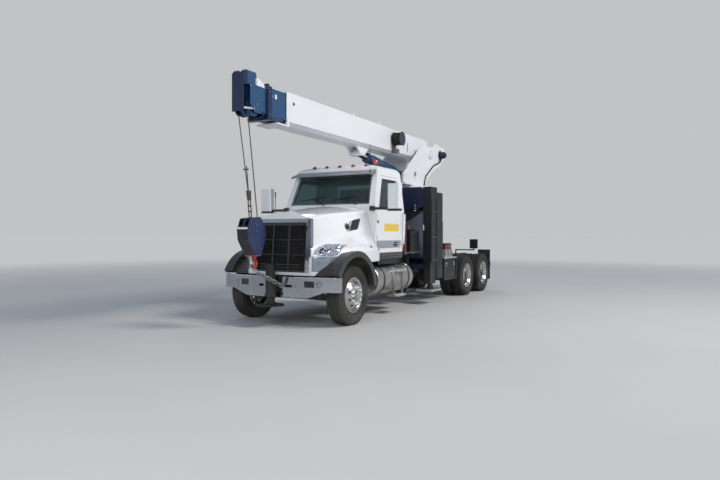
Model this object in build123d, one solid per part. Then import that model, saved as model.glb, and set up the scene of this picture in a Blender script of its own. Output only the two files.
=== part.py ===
from build123d import *
from math import cos, pi, radians, sin
import os

# A conventional 6x4 truck tractor with a telescopic boom crane behind its cab.
# X is forward, Y is left, Z is up; the ground is at Z = 0 and lengths are millimetres.
# Places along the truck are given from the front axle, forward positive.

front_axle_x = 3180.0
first_drive_back = 5890.0
tandem_spacing = 1350.0
first_drive_x = front_axle_x - first_drive_back
drive_axle_x = (first_drive_x, first_drive_x - tandem_spacing)
bogie_x = first_drive_x - tandem_spacing / 2

# Clearances
panel_gap = 6.0
slide_gap = 0.3
pin_gap = 0.05
seat_gap = 0.3

# Wheels and tyres
tyre_radius = 522.0
tyre_width = 280.0
tyre_wall = 16.0
tread_width = 228.0
bead_radius = 290.0
flange_radius = 308.0
rim_half_width = 106.0
rim_lip = 14.0
rim_wall = 10.0
disc_offset = 168.0
disc_wall = 12.0
hand_hole_count = 10
hand_hole_radius = 22.0
hand_hole_ring = 208.0
hub_radius = 84.0
hub_flange_radius = 140.0
spindle_radius = 35.0
twin_hub_reach = 150.0
axle_z = tyre_radius
front_tyre_y = 1035.0
outer_tyre_y = 1080.0
inner_tyre_y = outer_tyre_y - 2 * disc_offset

# Frame
rail_outside_y = 432.0
rail_height = 270.0
rail_flange = 85.0
rail_wall = 10.0
frame_top_z = 1040.0
frame_front_x = front_axle_x + 430.0
frame_end_x = front_axle_x - 8048.0
crossmember_height = 130.0
crossmember_width = 110.0
crossmember_back = (-330.0, 2250.0, 3050.0, 5215.0, 6565.0, 7850.0)
frame_low_z = frame_top_z - rail_height
horn_round = 14.0
tail_bar_height = 100.0
tail_lamp_y = (-1040.0, -840.0, 840.0, 1040.0)
tail_lamp_radius = 42.0
tail_lamp_proud = 12.0

# Front axle and steering
king_pin_y = 930.0
king_pin_radius = 22.0
king_boss_radius = 48.0
king_boss_half = 52.0
knuckle_ear = 32.0
knuckle_gap = 1.0
beam_drop_z = 400.0
beam_height = 100.0
beam_width = 90.0
spring_width = 90.0
spring_pack = 66.0
spring_front = 380.0
spring_back = 660.0
spring_eye_z = 690.0

# Drive axles
axle_tube_radius = 66.0
differential_radius = 205.0
walking_beam_y = 470.0
walking_beam_width = 80.0
shaft_radius = 55.0
shaft_z = 690.0

# Power train
engine_front = 200.0
engine_back = -980.0
engine_half_width = 330.0
engine_low_z = 640.0
engine_top_z = 1640.0
engine_mounts = (0.0, -850.0)
gearbox_back = -2050.0
gearbox_radius = 215.0

# Hood: each row is a section across the truck
# place, fender Y, fender Z, fender round, shoulder Y, shoulder Z, crown Y, crown Z, crown round, middle Z
hood_sections = (
    (610.0, 660.0, 1150.0, 35.0, 618.0, 1330.0, 606.0, 1790.0, 70.0, 1945.0),
    (40.0, 1150.0, 1250.0, 120.0, 720.0, 1500.0, 650.0, 1870.0, 85.0, 2020.0),
    (-450.0, 1225.0, 1270.0, 120.0, 840.0, 1550.0, 740.0, 1910.0, 95.0, 2085.0),
    (-985.0, 1150.0, 1290.0, 110.0, 975.0, 1600.0, 880.0, 1945.0, 110.0, 2145.0),
)
hood_wall = 22.0
hood_low_z = 875.0
hood_back_low_z = 1085.0
hood_lean = 115.0
nose_depth = 165.0
hood_pivot = (575.0, 895.0)
hood_pin_radius = 10.0
hood_hinge_y = (250.0, 290.0)
arch_z = 560.0
arch_radius = 655.0
grille_half_width = 535.0
grille_low_z = 925.0
grille_top_z = 1790.0
grille_frame = 22.0
grille_depth = 60.0
grille_slats = 25
grille_slat_width = 7.0
grille_slat_back = 14.0
grille_bar_y = 170.0
grille_bar_width = 40.0
grille_band = 55.0
grille_louvers = (945.0, 995.0, 1045.0)
grille_louver_height = 20.0
grille_louver_reach = 420.0
surround_half_width = (612.0, 640.0)
surround_step_z = 1190.0
surround_top_z = 1855.0
surround_proud = 10.0
vent_outline = ((-486.0, 1808.0), (-539.0, 1839.0), (-790.0, 1885.0), (-808.0, 1869.0), (-673.0, 1679.0),
                (-368.0, 1631.0), (-381.0, 1664.0))
badge_place = (-401.0, 1728.0)
badge_radius = 78.0
flare_width = 78.0
flare_wall = 24.0
flare_outside_y = 1238.0

# Bumper
bumper_top_z = 860.0
bumper_low_z = 500.0
bumper_end_low_z = 610.0
bumper_middle = 750.0
bumper_end = 600.0
bumper_half_width = 1225.0
bumper_wall = 8.0
bumper_return = 90.0

# Cab
cab_front = -1000.0
cab_back = -2300.0
cab_floor_z = 1100.0
cab_wall = 45.0
cab_half_width = 1050.0
cab_belt_z = 2060.0
cab_crease_z = (1440.0, 1300.0)
cab_tuck = (38.0, 42.0)
cab_gutter_z = 2800.0
cab_gutter_y = 960.0
roof_split_z = 2850.0
roof_top_z = 3010.0
windshield_foot = (-1000.0, 2140.0)
windshield_head = (-1270.0, 2790.0)
windshield_half_width = 885.0
glass_wall = 8.0
back_window = (560.0, 2150.0, 2640.0)
door_outline = (
    (-1075.0, 1150.0),
    (-1075.0, 2050.0),
    (-1375.0, 2740.0),
    (-2080.0, 2740.0),
    (-2140.0, 2660.0),
    (-2140.0, 1150.0),
)
door_window = (
    (-1190.0, 2085.0),
    (-1440.0, 2665.0),
    (-2030.0, 2665.0),
    (-2070.0, 2620.0),
    (-2070.0, 2085.0),
)
door_hinge = -1072.0
door_hinge_y = 1062.0
door_hinge_z = (1520.0, 1930.0)
door_pin_radius = 7.0
door_barrel_half = 22.0

# Tanks and boxes beside the frame
tank_y = 860.0
tank_z = 700.0
tank_radius = 290.0
tank_strap = 8.0
tank_front = -970.0
tank_back = -2560.0
step_place = -1770.0
step_length = 430.0
step_heights = (350.0, 840.0)
box_front = -4360.0
box_back = -5240.0
box_inside_y = 500.0
box_outside_y = 1150.0
box_low_z = 480.0
box_top_z = 1020.0
side_tank_front = -3880.0
side_tank_back = -4270.0
side_tank_y = (830.0, 1150.0)
side_tank_z = (560.0, 2560.0)

flap_place = -7780.0
step_box_place = (-2020.0, -1130.0)
step_box_y = (700.0, 1040.0)
receiver_place = -4350.0
receiver_y = 1030.0
receiver_radius = 85.0
receiver_z = (1330.0, 1890.0)

# Pedestal and outriggers
pedestal_front = -3620.0
pedestal_back = -4940.0
pedestal_half_width = 430.0
pedestal_top_z = 2660.0
subframe_top_z = 1160.0
cross_box_front = -3400.0
cross_box_back = -3860.0
cross_box_low_z = 1900.0
cross_box_half_width = 860.0
leg_pin_y = 930.0
leg_pin_z = 2520.0
leg_pin_radius = 32.0
leg_inside_y = 1005.0
leg_width = 190.0
leg_front = -3420.0
leg_length = 360.0
leg_low_z = 950.0
leg_top_z = 2660.0
leg_wall = 14.0
inner_leg_low_z = 465.0
inner_leg_top_z = 2300.0
inner_leg_wall = 12.0
wear_pad = 8.0
float_low_z = 300.0
float_wall = 40.0
float_half_length = 300.0
float_half_width = 190.0
float_pin_z = 400.0
float_pin_radius = 25.0

# Turret
slew_x = front_axle_x - 4280.0
slew_radius = 560.0
slew_height = 90.0
turret_base_z = pedestal_top_z + slew_height + 10.0
turret_plate_y = 430.0
turret_plate = 30.0
turret_outline = (
    (-3600.0, 2800.0),
    (-3600.0, 3000.0),
    (-4370.0, 3560.0),
    (-4700.0, 3830.0),
    (-5420.0, 3830.0),
    (-5560.0, 3960.0),
    (-6260.0, 3900.0),
    (-6260.0, 3640.0),
    (-5960.0, 3450.0),
    (-5480.0, 3270.0),
    (-4980.0, 2960.0),
    (-4900.0, 2800.0),
)
boom_pivot = (-5200.0, 3640.0)
boom_pivot_radius = 60.0
winch_place = (-5900.0, 3690.0)
winch_radius = 150.0
winch_flange_radius = 215.0

# Boom: each row is a section
# half width, low Z, top Z, back end, front end, wall
boom_sections = {
    "boom_base": (225.0, 3460.0, 4030.0, -5480.0, 695.0, 14.0),
    "boom_mid": (199.0, 3486.0, 4004.0, -4760.0, 1200.0, 12.0),
    "boom_tip": (175.0, 3510.0, 3980.0, -4200.0, 1600.0, 10.0),
}
boom_boss_reach = 352.0
boom_collar = 20.0
boom_collar_length = 100.0
boom_lug_places = (-1640.0, -2820.0)
boom_lug_height = 45.0
head_front = 1700.0
head_back = 1330.0
head_low_z = 3480.0
head_top_z = 4200.0
head_half_width = 118.0
head_plate = 16.0
head_web_y = (50.0, 66.0)
head_slot_back = 1250.0
head_slot_half = 150.0
head_corner = ((1420.0, 3510.0), (1600.0, 3660.0))
head_sheave = (1450.0, 3640.0)
head_sheave_radius = 150.0
head_sheave_y = 98.0
head_sheave_half = 20.0
head_groove = 24.0
top_sheave = (1520.0, 4090.0)
top_sheave_radius = 95.0
reel_place = (-3480.0, 3800.0)
reel_radius = 163.0
reel_core = 120.0
reel_y = (250.0, 460.0)

# Lift cylinder
lift_foot = (-4250.0, 3050.0)
lift_eye = (-2150.0, 3340.0)
lift_barrel_radius = 105.0
lift_rod_radius = 68.0
lift_barrel_length = 1700.0
lift_pin_radius = 40.0
lift_boss_half = 105.0

# Hoist lines and hook block, hanging below the head and leaned back by the tie-down chain
line_radius = 9.0
hang_lean = 6.4
block_drop = 2062.0
socket_drop = 1338.0
block_half_width = 110.0
block_half_depth = 228.0
block_high = 280.0
block_low = 350.0
block_slot = (30.0, 90.0)
block_slot_reach = 190.0
block_sheave_radius = 120.0
block_sheave_rise = 40.0
block_groove = 20.0
hook_neck = 60.0
hook_radius = 80.0
hook_thickness = 40.0
chain_y = 190.0
chain_links = 9
chain_wire = 14.0

# Front stabiliser
jack_place = 860.0
jack_radius = 85.0
jack_wall = 12.0
jack_top_z = 1080.0
jack_low_z = 520.0
jack_rod_radius = 60.0
jack_float_radius = 235.0
jack_float_z = 360.0
jack_float_wall = 25.0

# Fifth wheel
fifth_place = -6330.0
fifth_pin_z = 1150.0
fifth_top_z = 1215.0
fifth_plate = 26.0
fifth_half_width = 430.0
fifth_slot_half = 52.0
fifth_ear_rise = 26.0
fifth_ear_half = 30.0
king_pin_bore_radius = 26.0

PLANES = {"x": Plane.YZ, "y": Plane.XZ, "z": Plane.XY}
WAYS = {"x": Vector(1, 0, 0), "y": Vector(0, 1, 0), "z": Vector(0, 0, 1)}


def at(place):
    """X of a place given from the front axle, forward positive."""
    return front_axle_x + place


def along(points):
    """Side-view outline with its places turned into X."""
    return [(at(place), height) for place, height in points]


def flat(outline):
    """Closed flat face from a list of corners, or the sketch itself."""
    if isinstance(outline, (list, tuple)):
        return make_face(Polyline(*outline, close=True))
    return outline


def prism(outline, axis, low, high):
    """Straight solid along an axis; its outline lies in the other two."""
    face = PLANES[axis] * flat(outline)
    way = WAYS[axis]
    start = Pos(way.X * low, way.Y * low, way.Z * low) * face
    return extrude(start, amount=high - low, dir=way)


def block(x, y, z):
    """Box between pairs of limits."""
    return prism([(y[0], z[0]), (y[1], z[0]), (y[1], z[1]), (y[0], z[1])], "x", x[0], x[1])


def rod(start, end, radius):
    """Round bar between two points."""
    start = Vector(*start)
    way = Vector(*end) - start
    return Part() + Solid.make_cylinder(radius, way.length, Plane(origin=start, z_dir=way))


def turned(profile, centre):
    """Solid of revolution about a line along Y; the profile holds (Y, radius) pairs."""
    x, y, z = centre
    face = make_face(Polyline(*[(x, y + a, z + r) for a, r in profile], close=True))
    return revolve(face, axis=Axis((x, y, z), (0, 1, 0)), revolution_arc=360)


def mirrored(shape):
    """The same shape on the right side."""
    return mirror(shape, about=Plane.XZ)


def both(shape):
    """A left piece with its twin on the right."""
    return shape + mirrored(shape)


def save(name, *shapes):
    """One STEP file for a node, from one or more separate solids."""
    solids = [solid for shape in shapes for solid in shape.solids()]
    whole = solids[0] if len(solids) == 1 else Compound(children=solids)
    export_step(whole, f"parts/{name}.step")


# Frame rails and crossmembers

def frame():
    out = rail_outside_y
    web = out - rail_wall
    lip = out - rail_flange
    low, top = frame_low_z, frame_top_z
    channel = [(out, low), (out, top), (lip, top), (lip, top - rail_wall), (web, top - rail_wall),
               (web, low + rail_wall), (lip, low + rail_wall), (lip, low)]
    body = both(prism(channel, "x", frame_end_x, frame_front_x))
    middle = (low + top) / 2
    for back in crossmember_back:
        x = at(-back)
        body += block((x - crossmember_width / 2, x + crossmember_width / 2), (-web, web),
                      (middle - crossmember_height / 2, middle + crossmember_height / 2))
    x = frame_end_x
    body += block((x, x + rail_wall), (-web, web), (low + 20, top - 20))
    ear_top = fifth_pin_z + fifth_ear_rise
    bracket = [(at(fifth_place) - 190, top), (at(fifth_place) + 190, top),
               (at(fifth_place) + fifth_ear_half, ear_top), (at(fifth_place) - fifth_ear_half, ear_top)]
    ear = prism(bracket, "y", out - 60, out - 30)
    ear -= rod((at(fifth_place), out - 70, fifth_pin_z), (at(fifth_place), out - 20, fifth_pin_z), 20)
    body += both(ear)
    px, pz = at(hood_pivot[0]), hood_pivot[1]
    for y in (hood_hinge_y[0] - 30, hood_hinge_y[1] + 10):
        horn = prism([(frame_front_x - 20, top - 200), (px, pz - horn_round), (px, pz + horn_round),
                      (frame_front_x - 20, pz + horn_round)], "y", y, y + 20)
        body += both(horn + rod((px, y, pz), (px, y + 20, pz), horn_round))
    body += block((frame_front_x - 60, frame_front_x), (-web, web), (top - 200, pz + 12))
    pin = rod((px, hood_hinge_y[0] - 30, pz), (px, hood_hinge_y[1] + 30, pz), hood_pin_radius)
    return body + both(pin)


# Axles, springs and drive line

def front_axle():
    x = front_axle_x
    low = beam_drop_z
    high = low + beam_height
    end = king_pin_y - king_boss_radius + 8
    boss_low = axle_z - king_boss_half
    boss_top = axle_z + king_boss_half
    outline = [(-end, boss_low), (-end, boss_top), (-end + 70, boss_top), (-620, high), (620, high),
               (end - 70, boss_top), (end, boss_top), (end, boss_low), (end - 60, boss_low),
               (640, low), (-640, low), (-end + 60, boss_low)]
    beam = prism(outline, "x", x - beam_width / 2, x + beam_width / 2)
    y = king_pin_y
    boss = rod((x, y, boss_low), (x, y, boss_top), king_boss_radius)
    pin_end = king_boss_half + knuckle_gap + knuckle_ear + 8
    boss += rod((x, y, axle_z - pin_end), (x, y, axle_z + pin_end), king_pin_radius)
    beam += both(boss)
    front = x + spring_front
    back = x - spring_back
    seat = high
    under = ThreePointArc((front, spring_eye_z), (x, seat), (back, spring_eye_z))
    over = ThreePointArc((back, spring_eye_z + spring_pack), (x, seat + spring_pack),
                         (front, spring_eye_z + spring_pack))
    leaf = make_face(Curve() + [under, Line(under @ 1, over @ 0), over, Line(over @ 1, under @ 0)])
    y = rail_outside_y - spring_width / 2 - 10
    spring = prism(leaf, "y", y - spring_width / 2, y + spring_width / 2)
    for hanger in (front - 40, back + 40):
        spring += block((hanger - 40, hanger + 40), (y - spring_width / 2, y + spring_width / 2),
                        (spring_eye_z + spring_pack - 40, frame_low_z))
    return beam + both(spring)


def drive_axles():
    shapes = Part()
    for x in drive_axle_x:
        tube_end = outer_tyre_y - disc_offset - twin_hub_reach - panel_gap
        shapes += rod((x, -tube_end, axle_z), (x, tube_end, axle_z), axle_tube_radius)
        shapes += Pos(x, 0, axle_z) * Sphere(differential_radius)
        shapes += rod((x, 0, axle_z), (x + 330, 0, axle_z + 60), 105)
        spindle_end = outer_tyre_y - 20
        shapes += both(rod((x, tube_end, axle_z), (x, spindle_end, axle_z), spindle_radius))
    front, back = drive_axle_x
    y = walking_beam_y
    beam = prism([(front + 80, axle_z - 150), (front + 80, axle_z - 40), (bogie_x + 120, axle_z + 60),
                  (bogie_x - 120, axle_z + 60), (back - 80, axle_z - 40), (back - 80, axle_z - 150),
                  (bogie_x - 150, axle_z - 110), (bogie_x + 150, axle_z - 110)],
                 "y", y, y + walking_beam_width)
    saddle = prism([(bogie_x - 90, axle_z), (bogie_x + 90, axle_z), (bogie_x + 190, frame_top_z - 60),
                    (bogie_x - 190, frame_top_z - 60)], "y", rail_outside_y, y)
    shapes += both(beam + saddle)
    shapes += rod((front + 320, 0, axle_z + 58), (at(gearbox_back) - 4, 0, shaft_z + 80), shaft_radius)
    shapes += rod((back + 300, 0, axle_z + 55), (front - 150, 0, axle_z + 55), shaft_radius)
    return shapes


def engine_block():
    body = block((at(engine_back), at(engine_front)), (-engine_half_width, engine_half_width),
                 (engine_low_z, engine_top_z))
    reach = rail_outside_y - rail_wall - seat_gap
    for place in engine_mounts:
        body += block((at(place) - 60, at(place) + 60), (-reach, reach), (frame_low_z + 60, frame_low_z + 140))
    return body + rod((at(gearbox_back), 0, shaft_z + 80), (at(engine_back), 0, shaft_z + 80), gearbox_radius)


# Wheels

def rim_profile(side):
    """One rim with its disc at +Y for side 1 or -Y for side -1, as (Y, radius) pairs."""
    half, lip, wall, bead = rim_half_width, rim_lip, rim_wall, bead_radius
    face = disc_offset
    back = disc_offset - disc_wall
    points = [(-half - lip, flange_radius), (-half, flange_radius), (-half, bead), (-half + 26, bead - 3),
              (-45, bead - 28), (45, bead - 28), (half - 26, bead - 3), (half, bead),
              (half, flange_radius), (half + lip, flange_radius), (half + lip, bead + 4),
              (half - 14, bead - 16), (half + 30, 232), (face - 6, 200), (face, 176), (face, hub_radius),
              (back, hub_radius), (back, 170), (half + 20, 222), (40, bead - 28 - wall), (-45, bead - 28 - wall),
              (-half + 20, bead - 16), (-half - lip, bead + 4)]
    return [(side * a, r) for a, r in points]


def rim(x, y, side):
    body = turned(rim_profile(side), (x, y, axle_z))
    for index in range(hand_hole_count):
        turn = 2 * pi * index / hand_hole_count
        hx = x + hand_hole_ring * sin(turn)
        hz = axle_z + hand_hole_ring * cos(turn)
        low = y + side * (rim_half_width + 16)
        body -= rod((hx, low, hz), (hx, y + side * (disc_offset + 20), hz), hand_hole_radius)
    return body


def tyre(x, y):
    half = tyre_width / 2
    tread = tread_width / 2
    bead = bead_radius + seat_gap
    edge = rim_half_width - seat_gap
    wall = tyre_wall
    profile = [(-edge, bead), (-edge, bead + 40), (-half, 400), (-half + 2, 440), (-tread - 10, tyre_radius - 22),
               (-tread, tyre_radius - 4), (-tread + 20, tyre_radius), (tread - 20, tyre_radius),
               (tread, tyre_radius - 4), (tread + 10, tyre_radius - 22), (half - 2, 440), (half, 400),
               (edge, bead + 40), (edge, bead), (edge - wall, bead), (edge - wall, bead + 36),
               (half - wall, 400), (tread - 8, tyre_radius - 40), (tread - 40, tyre_radius - 32),
               (-tread + 40, tyre_radius - 32), (-tread + 8, tyre_radius - 40), (-half + wall, 400),
               (-edge + wall, bead + 36), (-edge + wall, bead)]
    return turned(profile, (x, y, axle_z))


def front_wheel():
    x, y = front_axle_x, front_tyre_y
    hub = turned([(-10, spindle_radius + pin_gap), (-10, 78), (60, 78), (disc_offset - disc_wall - 30, 84),
                  (disc_offset - disc_wall - 30, hub_flange_radius), (disc_offset - disc_wall, hub_flange_radius),
                  (disc_offset - disc_wall, hub_radius), (disc_offset + 50, 74), (disc_offset + 62, 56),
                  (disc_offset + 62, 0), (100, 0), (100, spindle_radius + pin_gap)], (x, y, axle_z))
    return rim(x, y, 1) + hub


def twin_wheels(x):
    face = outer_tyre_y - disc_offset
    back = face - twin_hub_reach
    hub = turned([(back, spindle_radius + pin_gap), (back, 150), (face - 60, 150), (face - 40, 90),
                  (face - disc_wall - 22, 90), (face - disc_wall - 22, hub_flange_radius),
                  (face - disc_wall, hub_flange_radius), (face - disc_wall, hub_radius), (face + 150, 78),
                  (face + 170, 66), (face + 170, 0), (outer_tyre_y - 10, 0),
                  (outer_tyre_y - 10, spindle_radius + pin_gap)], (x, 0, axle_z))
    return rim(x, outer_tyre_y, -1) + rim(x, inner_tyre_y, 1) + hub


def twin_tyres(x):
    return tyre(x, outer_tyre_y), tyre(x, inner_tyre_y)


def knuckle():
    x, y = front_axle_x, king_pin_y
    near = king_boss_half + knuckle_gap
    far = near + knuckle_ear
    body = Part()
    for low, top in ((axle_z - far, axle_z - near), (axle_z + near, axle_z + far)):
        ear = rod((x, y, low), (x, y, top), king_boss_radius)
        ear += block((x - king_boss_radius, x + king_boss_radius), (y, y + king_boss_radius + 30), (low, top))
        body += ear
    web = y + king_boss_radius + 5
    body += block((x - king_boss_radius, x + king_boss_radius), (web, web + 30), (axle_z - far, axle_z + far))
    body -= rod((x, y, axle_z - far - 5), (x, y, axle_z + far + 5), king_pin_radius + pin_gap)
    spindle_end = front_tyre_y + 98
    body += rod((x, web + 20, axle_z), (x, spindle_end, axle_z), spindle_radius)
    arm = prism([(x - 30, y + 35), (x - 250, y - 20), (x - 250, y + 20), (x - 30, y + 75)],
                "z", axle_z - far, axle_z - near)
    arm -= rod((x, y, axle_z - far - 5), (x, y, axle_z + far + 5), king_pin_radius + pin_gap)
    return body + arm


# Hood, grille, flares and lamps

def hood_section(row, inset, shift=0.0, low=hood_low_z):
    place, fy, fz, fr, sy, sz, cy, cz, cr, mz = row
    x = at(place + shift)
    fy, sy, cy = fy - inset, sy - inset, cy - inset
    fz, sz, cz, mz = fz - inset, sz - inset, cz - inset, mz - inset
    bend = 1 - cos(radians(45))
    right = [(fy, low), (fy, fz), (fy - fr, fz + fr), (sy, sz), (cy, cz), (cy - cr, cz + cr)]
    edges = []
    for side in (1, -1):
        p = [(x, side * y, z) for y, z in right]
        fender = (x, side * (fy - fr * bend), fz + fr * (1 - bend))
        crown = (x, side * (cy - cr * bend), cz + cr * (1 - bend))
        run = [Line(p[0], p[1]), ThreePointArc(p[1], fender, p[2]), Line(p[2], p[3]), Line(p[3], p[4]),
               ThreePointArc(p[4], crown, p[5])]
        edges.append(run)
    left, other = edges
    top = ThreePointArc(left[-1] @ 1, (x, 0, mz), other[-1] @ 1)
    foot = Line(other[0] @ 0, left[0] @ 0)
    return make_face(Curve() + left + [top] + other[::-1] + [foot])


def hood_form(inset, low=hood_low_z, front_shift=0.0, back_shift=0.0):
    rows = hood_sections
    shifts = [front_shift] + [0.0] * (len(rows) - 2) + [back_shift]
    return loft([hood_section(row, inset, shift, low) for row, shift in zip(rows, shifts)])


def lamp_zone(outline):
    """Space in front of the fender inside an outline seen from the front."""
    return prism(outline, "x", at(-60), at(700))


lamp_outline = [(686, 1215), (685, 1309), (710, 1377), (756, 1412), (919, 1411), (943, 1395), (966, 1407),
                (1008, 1400), (1029, 1348), (1031, 1296), (1002, 1234), (955, 1211), (826, 1211)]
insert_outline = [(668, 1203), (1020, 1203), (1002, 1141), (931, 1048), (854, 976), (780, 944), (670, 947)]


def nose_layer(front, back, wide=1400.0):
    """Layer of the leaning nose between two distances ahead of its face."""
    foot, low, top = at(hood_sections[0][0]), hood_low_z - 50, 2200
    return prism([(foot + front, low), (foot + front - hood_lean, top), (foot + back - hood_lean, top),
                  (foot + back, low)], "y", -wide, wide)


def hood_core(low=hood_low_z - 60):
    """Space inside the hood's walls."""
    return hood_form(hood_wall, low=low, front_shift=-nose_depth, back_shift=-60)


def grille_opening():
    half, low, top = grille_half_width, grille_low_z, grille_top_z
    return block((at(250), at(800)), (-half, half), (low, top))


def surround_space(gap=0.0):
    """Space of the bright band at both sides of the grille and above it."""
    low_wide, wide = (half + gap for half in surround_half_width)
    step, top, foot = surround_step_z - gap, surround_top_z + gap, grille_low_z - gap
    outline = [(-low_wide, foot), (low_wide, foot), (low_wide, step), (wide, step), (wide, top), (-wide, top),
               (-wide, step), (-low_wide, step)]
    return prism(outline, "x", at(250), at(800))


def grille_surround():
    band = hood_form(-surround_proud, front_shift=40.0) & surround_space()
    return (band & nose_layer(surround_proud, -grille_depth)) - grille_opening()


def hood():
    shell = hood_form(0.0) - hood_core()
    shell -= nose_layer(200, 0)
    shell -= surround_space(seat_gap) & nose_layer(200, -grille_depth - seat_gap)
    shell -= grille_opening()
    for side in (1, -1):
        shell -= rod((front_axle_x, side * 600, arch_z), (front_axle_x, side * 1500, arch_z), arch_radius)
    shell -= block((at(-1200), at(-500)), (-1500, 1500), (hood_low_z - 100, hood_back_low_z))
    vent = prism(along(vent_outline), "y", 500, 1500)
    bx, bz = at(badge_place[0]), badge_place[1]
    vent -= rod((bx, 400, bz), (bx, 1600, bz), badge_radius)
    shell -= both(vent & hood_form(-20.0) - hood_form(hood_wall - 8.0, low=0.0))
    for outline in (lamp_outline, insert_outline):
        shell -= both(lamp_zone(outline))
    shell -= block((at(350), at(593)), (-560, 560), (hood_low_z - 20, grille_low_z - 12))
    px, pz = at(hood_pivot[0]), hood_pivot[1]
    near, far = hood_hinge_y
    lug = block((px, at(600)), (near, far), (pz - 12, pz + 30)) + rod((px, near, pz), (px, far, pz), 18)
    lug -= rod((px, near - 5, pz), (px, far + 5, pz), hood_pin_radius + pin_gap)
    return shell + both(lug)


def headlamps():
    skin = hood_form(-3.0) - hood_core(low=0.0)
    skin -= nose_layer(200, 0)
    skin -= rod((front_axle_x, -1500, arch_z), (front_axle_x, 1500, arch_z), arch_radius + 4)
    lens = skin & lamp_zone(lamp_outline)
    insert = skin & lamp_zone(insert_outline)
    return both(lens), both(insert)


def grille():
    """Frame, set-back slats, two bars, three low louvers and a top band, all in the leaning opening."""
    half, low, top, edge = grille_half_width, grille_low_z, grille_top_z, grille_frame
    x = (at(300), at(700))
    rim_layer = nose_layer(0, -grille_depth)
    body = block(x, (-half, half), (low, top)) - block(x, (-half + edge, half - edge), (low + edge, top - edge))
    body += block(x, (-half + 10, half - 10), (top - grille_band, top - 10))
    for y in (-grille_bar_y, grille_bar_y):
        body += block(x, (y - grille_bar_width / 2, y + grille_bar_width / 2), (low + 10, top - 10))
    for z in grille_louvers:
        body += block(x, (-grille_louver_reach, grille_louver_reach), (z, z + grille_louver_height))
    body &= rim_layer
    slats = Part()
    step = 2 * (half - edge) / (grille_slats + 1)
    for index in range(1, grille_slats + 1):
        y = -half + edge + index * step
        slats += block(x, (y - grille_slat_width / 2, y + grille_slat_width / 2), (low + 10, top - 10))
    for share in (0.35, 0.65):
        z = low + share * (top - low)
        slats += block(x, (-half + 10, half - 10), (z - 8, z + 8))
    return body + (slats & nose_layer(-grille_slat_back, -grille_depth))


def flares():
    x, z, y = front_axle_x, arch_z, flare_outside_y
    inner, outer = arch_radius - flare_wall - seat_gap, arch_radius + flare_width
    place = Pos(x, z)
    lip = prism(place * (Circle(outer) - Circle(arch_radius - seat_gap)), "y", y - 190, y)
    lip -= hood_form(-seat_gap, low=0.0)
    liner = prism(place * (Circle(arch_radius - seat_gap) - Circle(inner)), "y", 640, y)
    band = lip + liner
    band -= block((x, x + 900), (0, 1500), (-600, hood_low_z))
    band -= block((x - 900, x), (0, 1500), (-600, arch_z + 90))
    corner = [(590, hood_low_z - 15), (590, hood_low_z + 2), (710, hood_low_z + 96), (710, hood_low_z - 15)]
    band -= prism(along(corner), "y", 0, 1500)
    tail = prism([(x - inner, arch_z + 95), (x - inner - flare_wall, arch_z + 95), (x - inner - 90, 690),
                  (x - inner - 66, 690)], "y", 1060, y)
    return both(band + tail)


# Bumper and front stabiliser

def bumper_face_x(y):
    """X of the bumper's front face, an arc through its middle and both ends."""
    rise = bumper_middle - bumper_end
    radius = (bumper_half_width ** 2 + rise ** 2) / (2 * rise)
    return at(bumper_middle) - radius + (radius ** 2 - y ** 2) ** 0.5


def bumper():
    x = front_axle_x
    wide, middle, end, wall = bumper_half_width, x + bumper_middle, x + bumper_end, bumper_wall
    outer = ThreePointArc((end, -wide), (middle, 0), (end, wide))
    inner = ThreePointArc((end - wall, wide - wall), (middle - wall, 0), (end - wall, -wide + wall))
    back = end - bumper_return
    outline = make_face(Curve() + [outer, Line((end, wide), (back, wide)), Line((back, wide), (back, wide - wall)),
                                   Line((back, wide - wall), (end - wall, wide - wall)), inner,
                                   Line((end - wall, -wide + wall), (back, -wide + wall)),
                                   Line((back, -wide + wall), (back, -wide)), Line((back, -wide), (end, -wide))])
    plate = prism(outline, "z", bumper_low_z, bumper_top_z)
    low, raised = bumper_low_z, bumper_end_low_z
    for side in (1, -1):
        cut = [(side * 620, low - 10), (side * (wide + 20), low - 10), (side * (wide + 20), raised),
               (side * (wide - 250), raised)]
        plate -= prism(cut, "x", back - 20, middle + 20)
    plate -= block((x + 400, middle + 20), (-58, 58), (592, 728))
    for y in (-870, 870):
        plate -= rod((x + 500, y, 735), (middle + 20, y, 735), 58)
    for y in (330, -330):
        plate -= prism(Pos(y, 700) * SlotOverall(200, 44), "x", x + 500, middle + 20)
    arm_y = (rail_outside_y - 80, rail_outside_y - 20)
    arm = block((frame_front_x, bumper_face_x(arm_y[1]) - wall - seat_gap), arm_y, (640, 840))
    return plate, arm, mirrored(arm)


def front_jack():
    x = at(jack_place)
    top, low = jack_top_z, jack_low_z
    body = rod((x, 0, low), (x, 0, top), jack_radius)
    body -= rod((x, 0, low - 5), (x, 0, top - 20), jack_radius - jack_wall)
    beam = block((frame_front_x + 40, x), (-50, 50), (600, 720))
    body += beam - rod((x, 0, low - 5), (x, 0, top), jack_radius - 4)
    collar = rod((x, 0, low), (x, 0, low + 40), jack_radius + 16)
    collar -= rod((x, 0, low - 5), (x, 0, low + 60), jack_radius - 4)
    body += collar
    arm_y = rail_outside_y - 80
    carrier = block((frame_front_x + 30, frame_front_x + 90), (-arm_y, arm_y), (645, 765))
    return body + carrier


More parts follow.
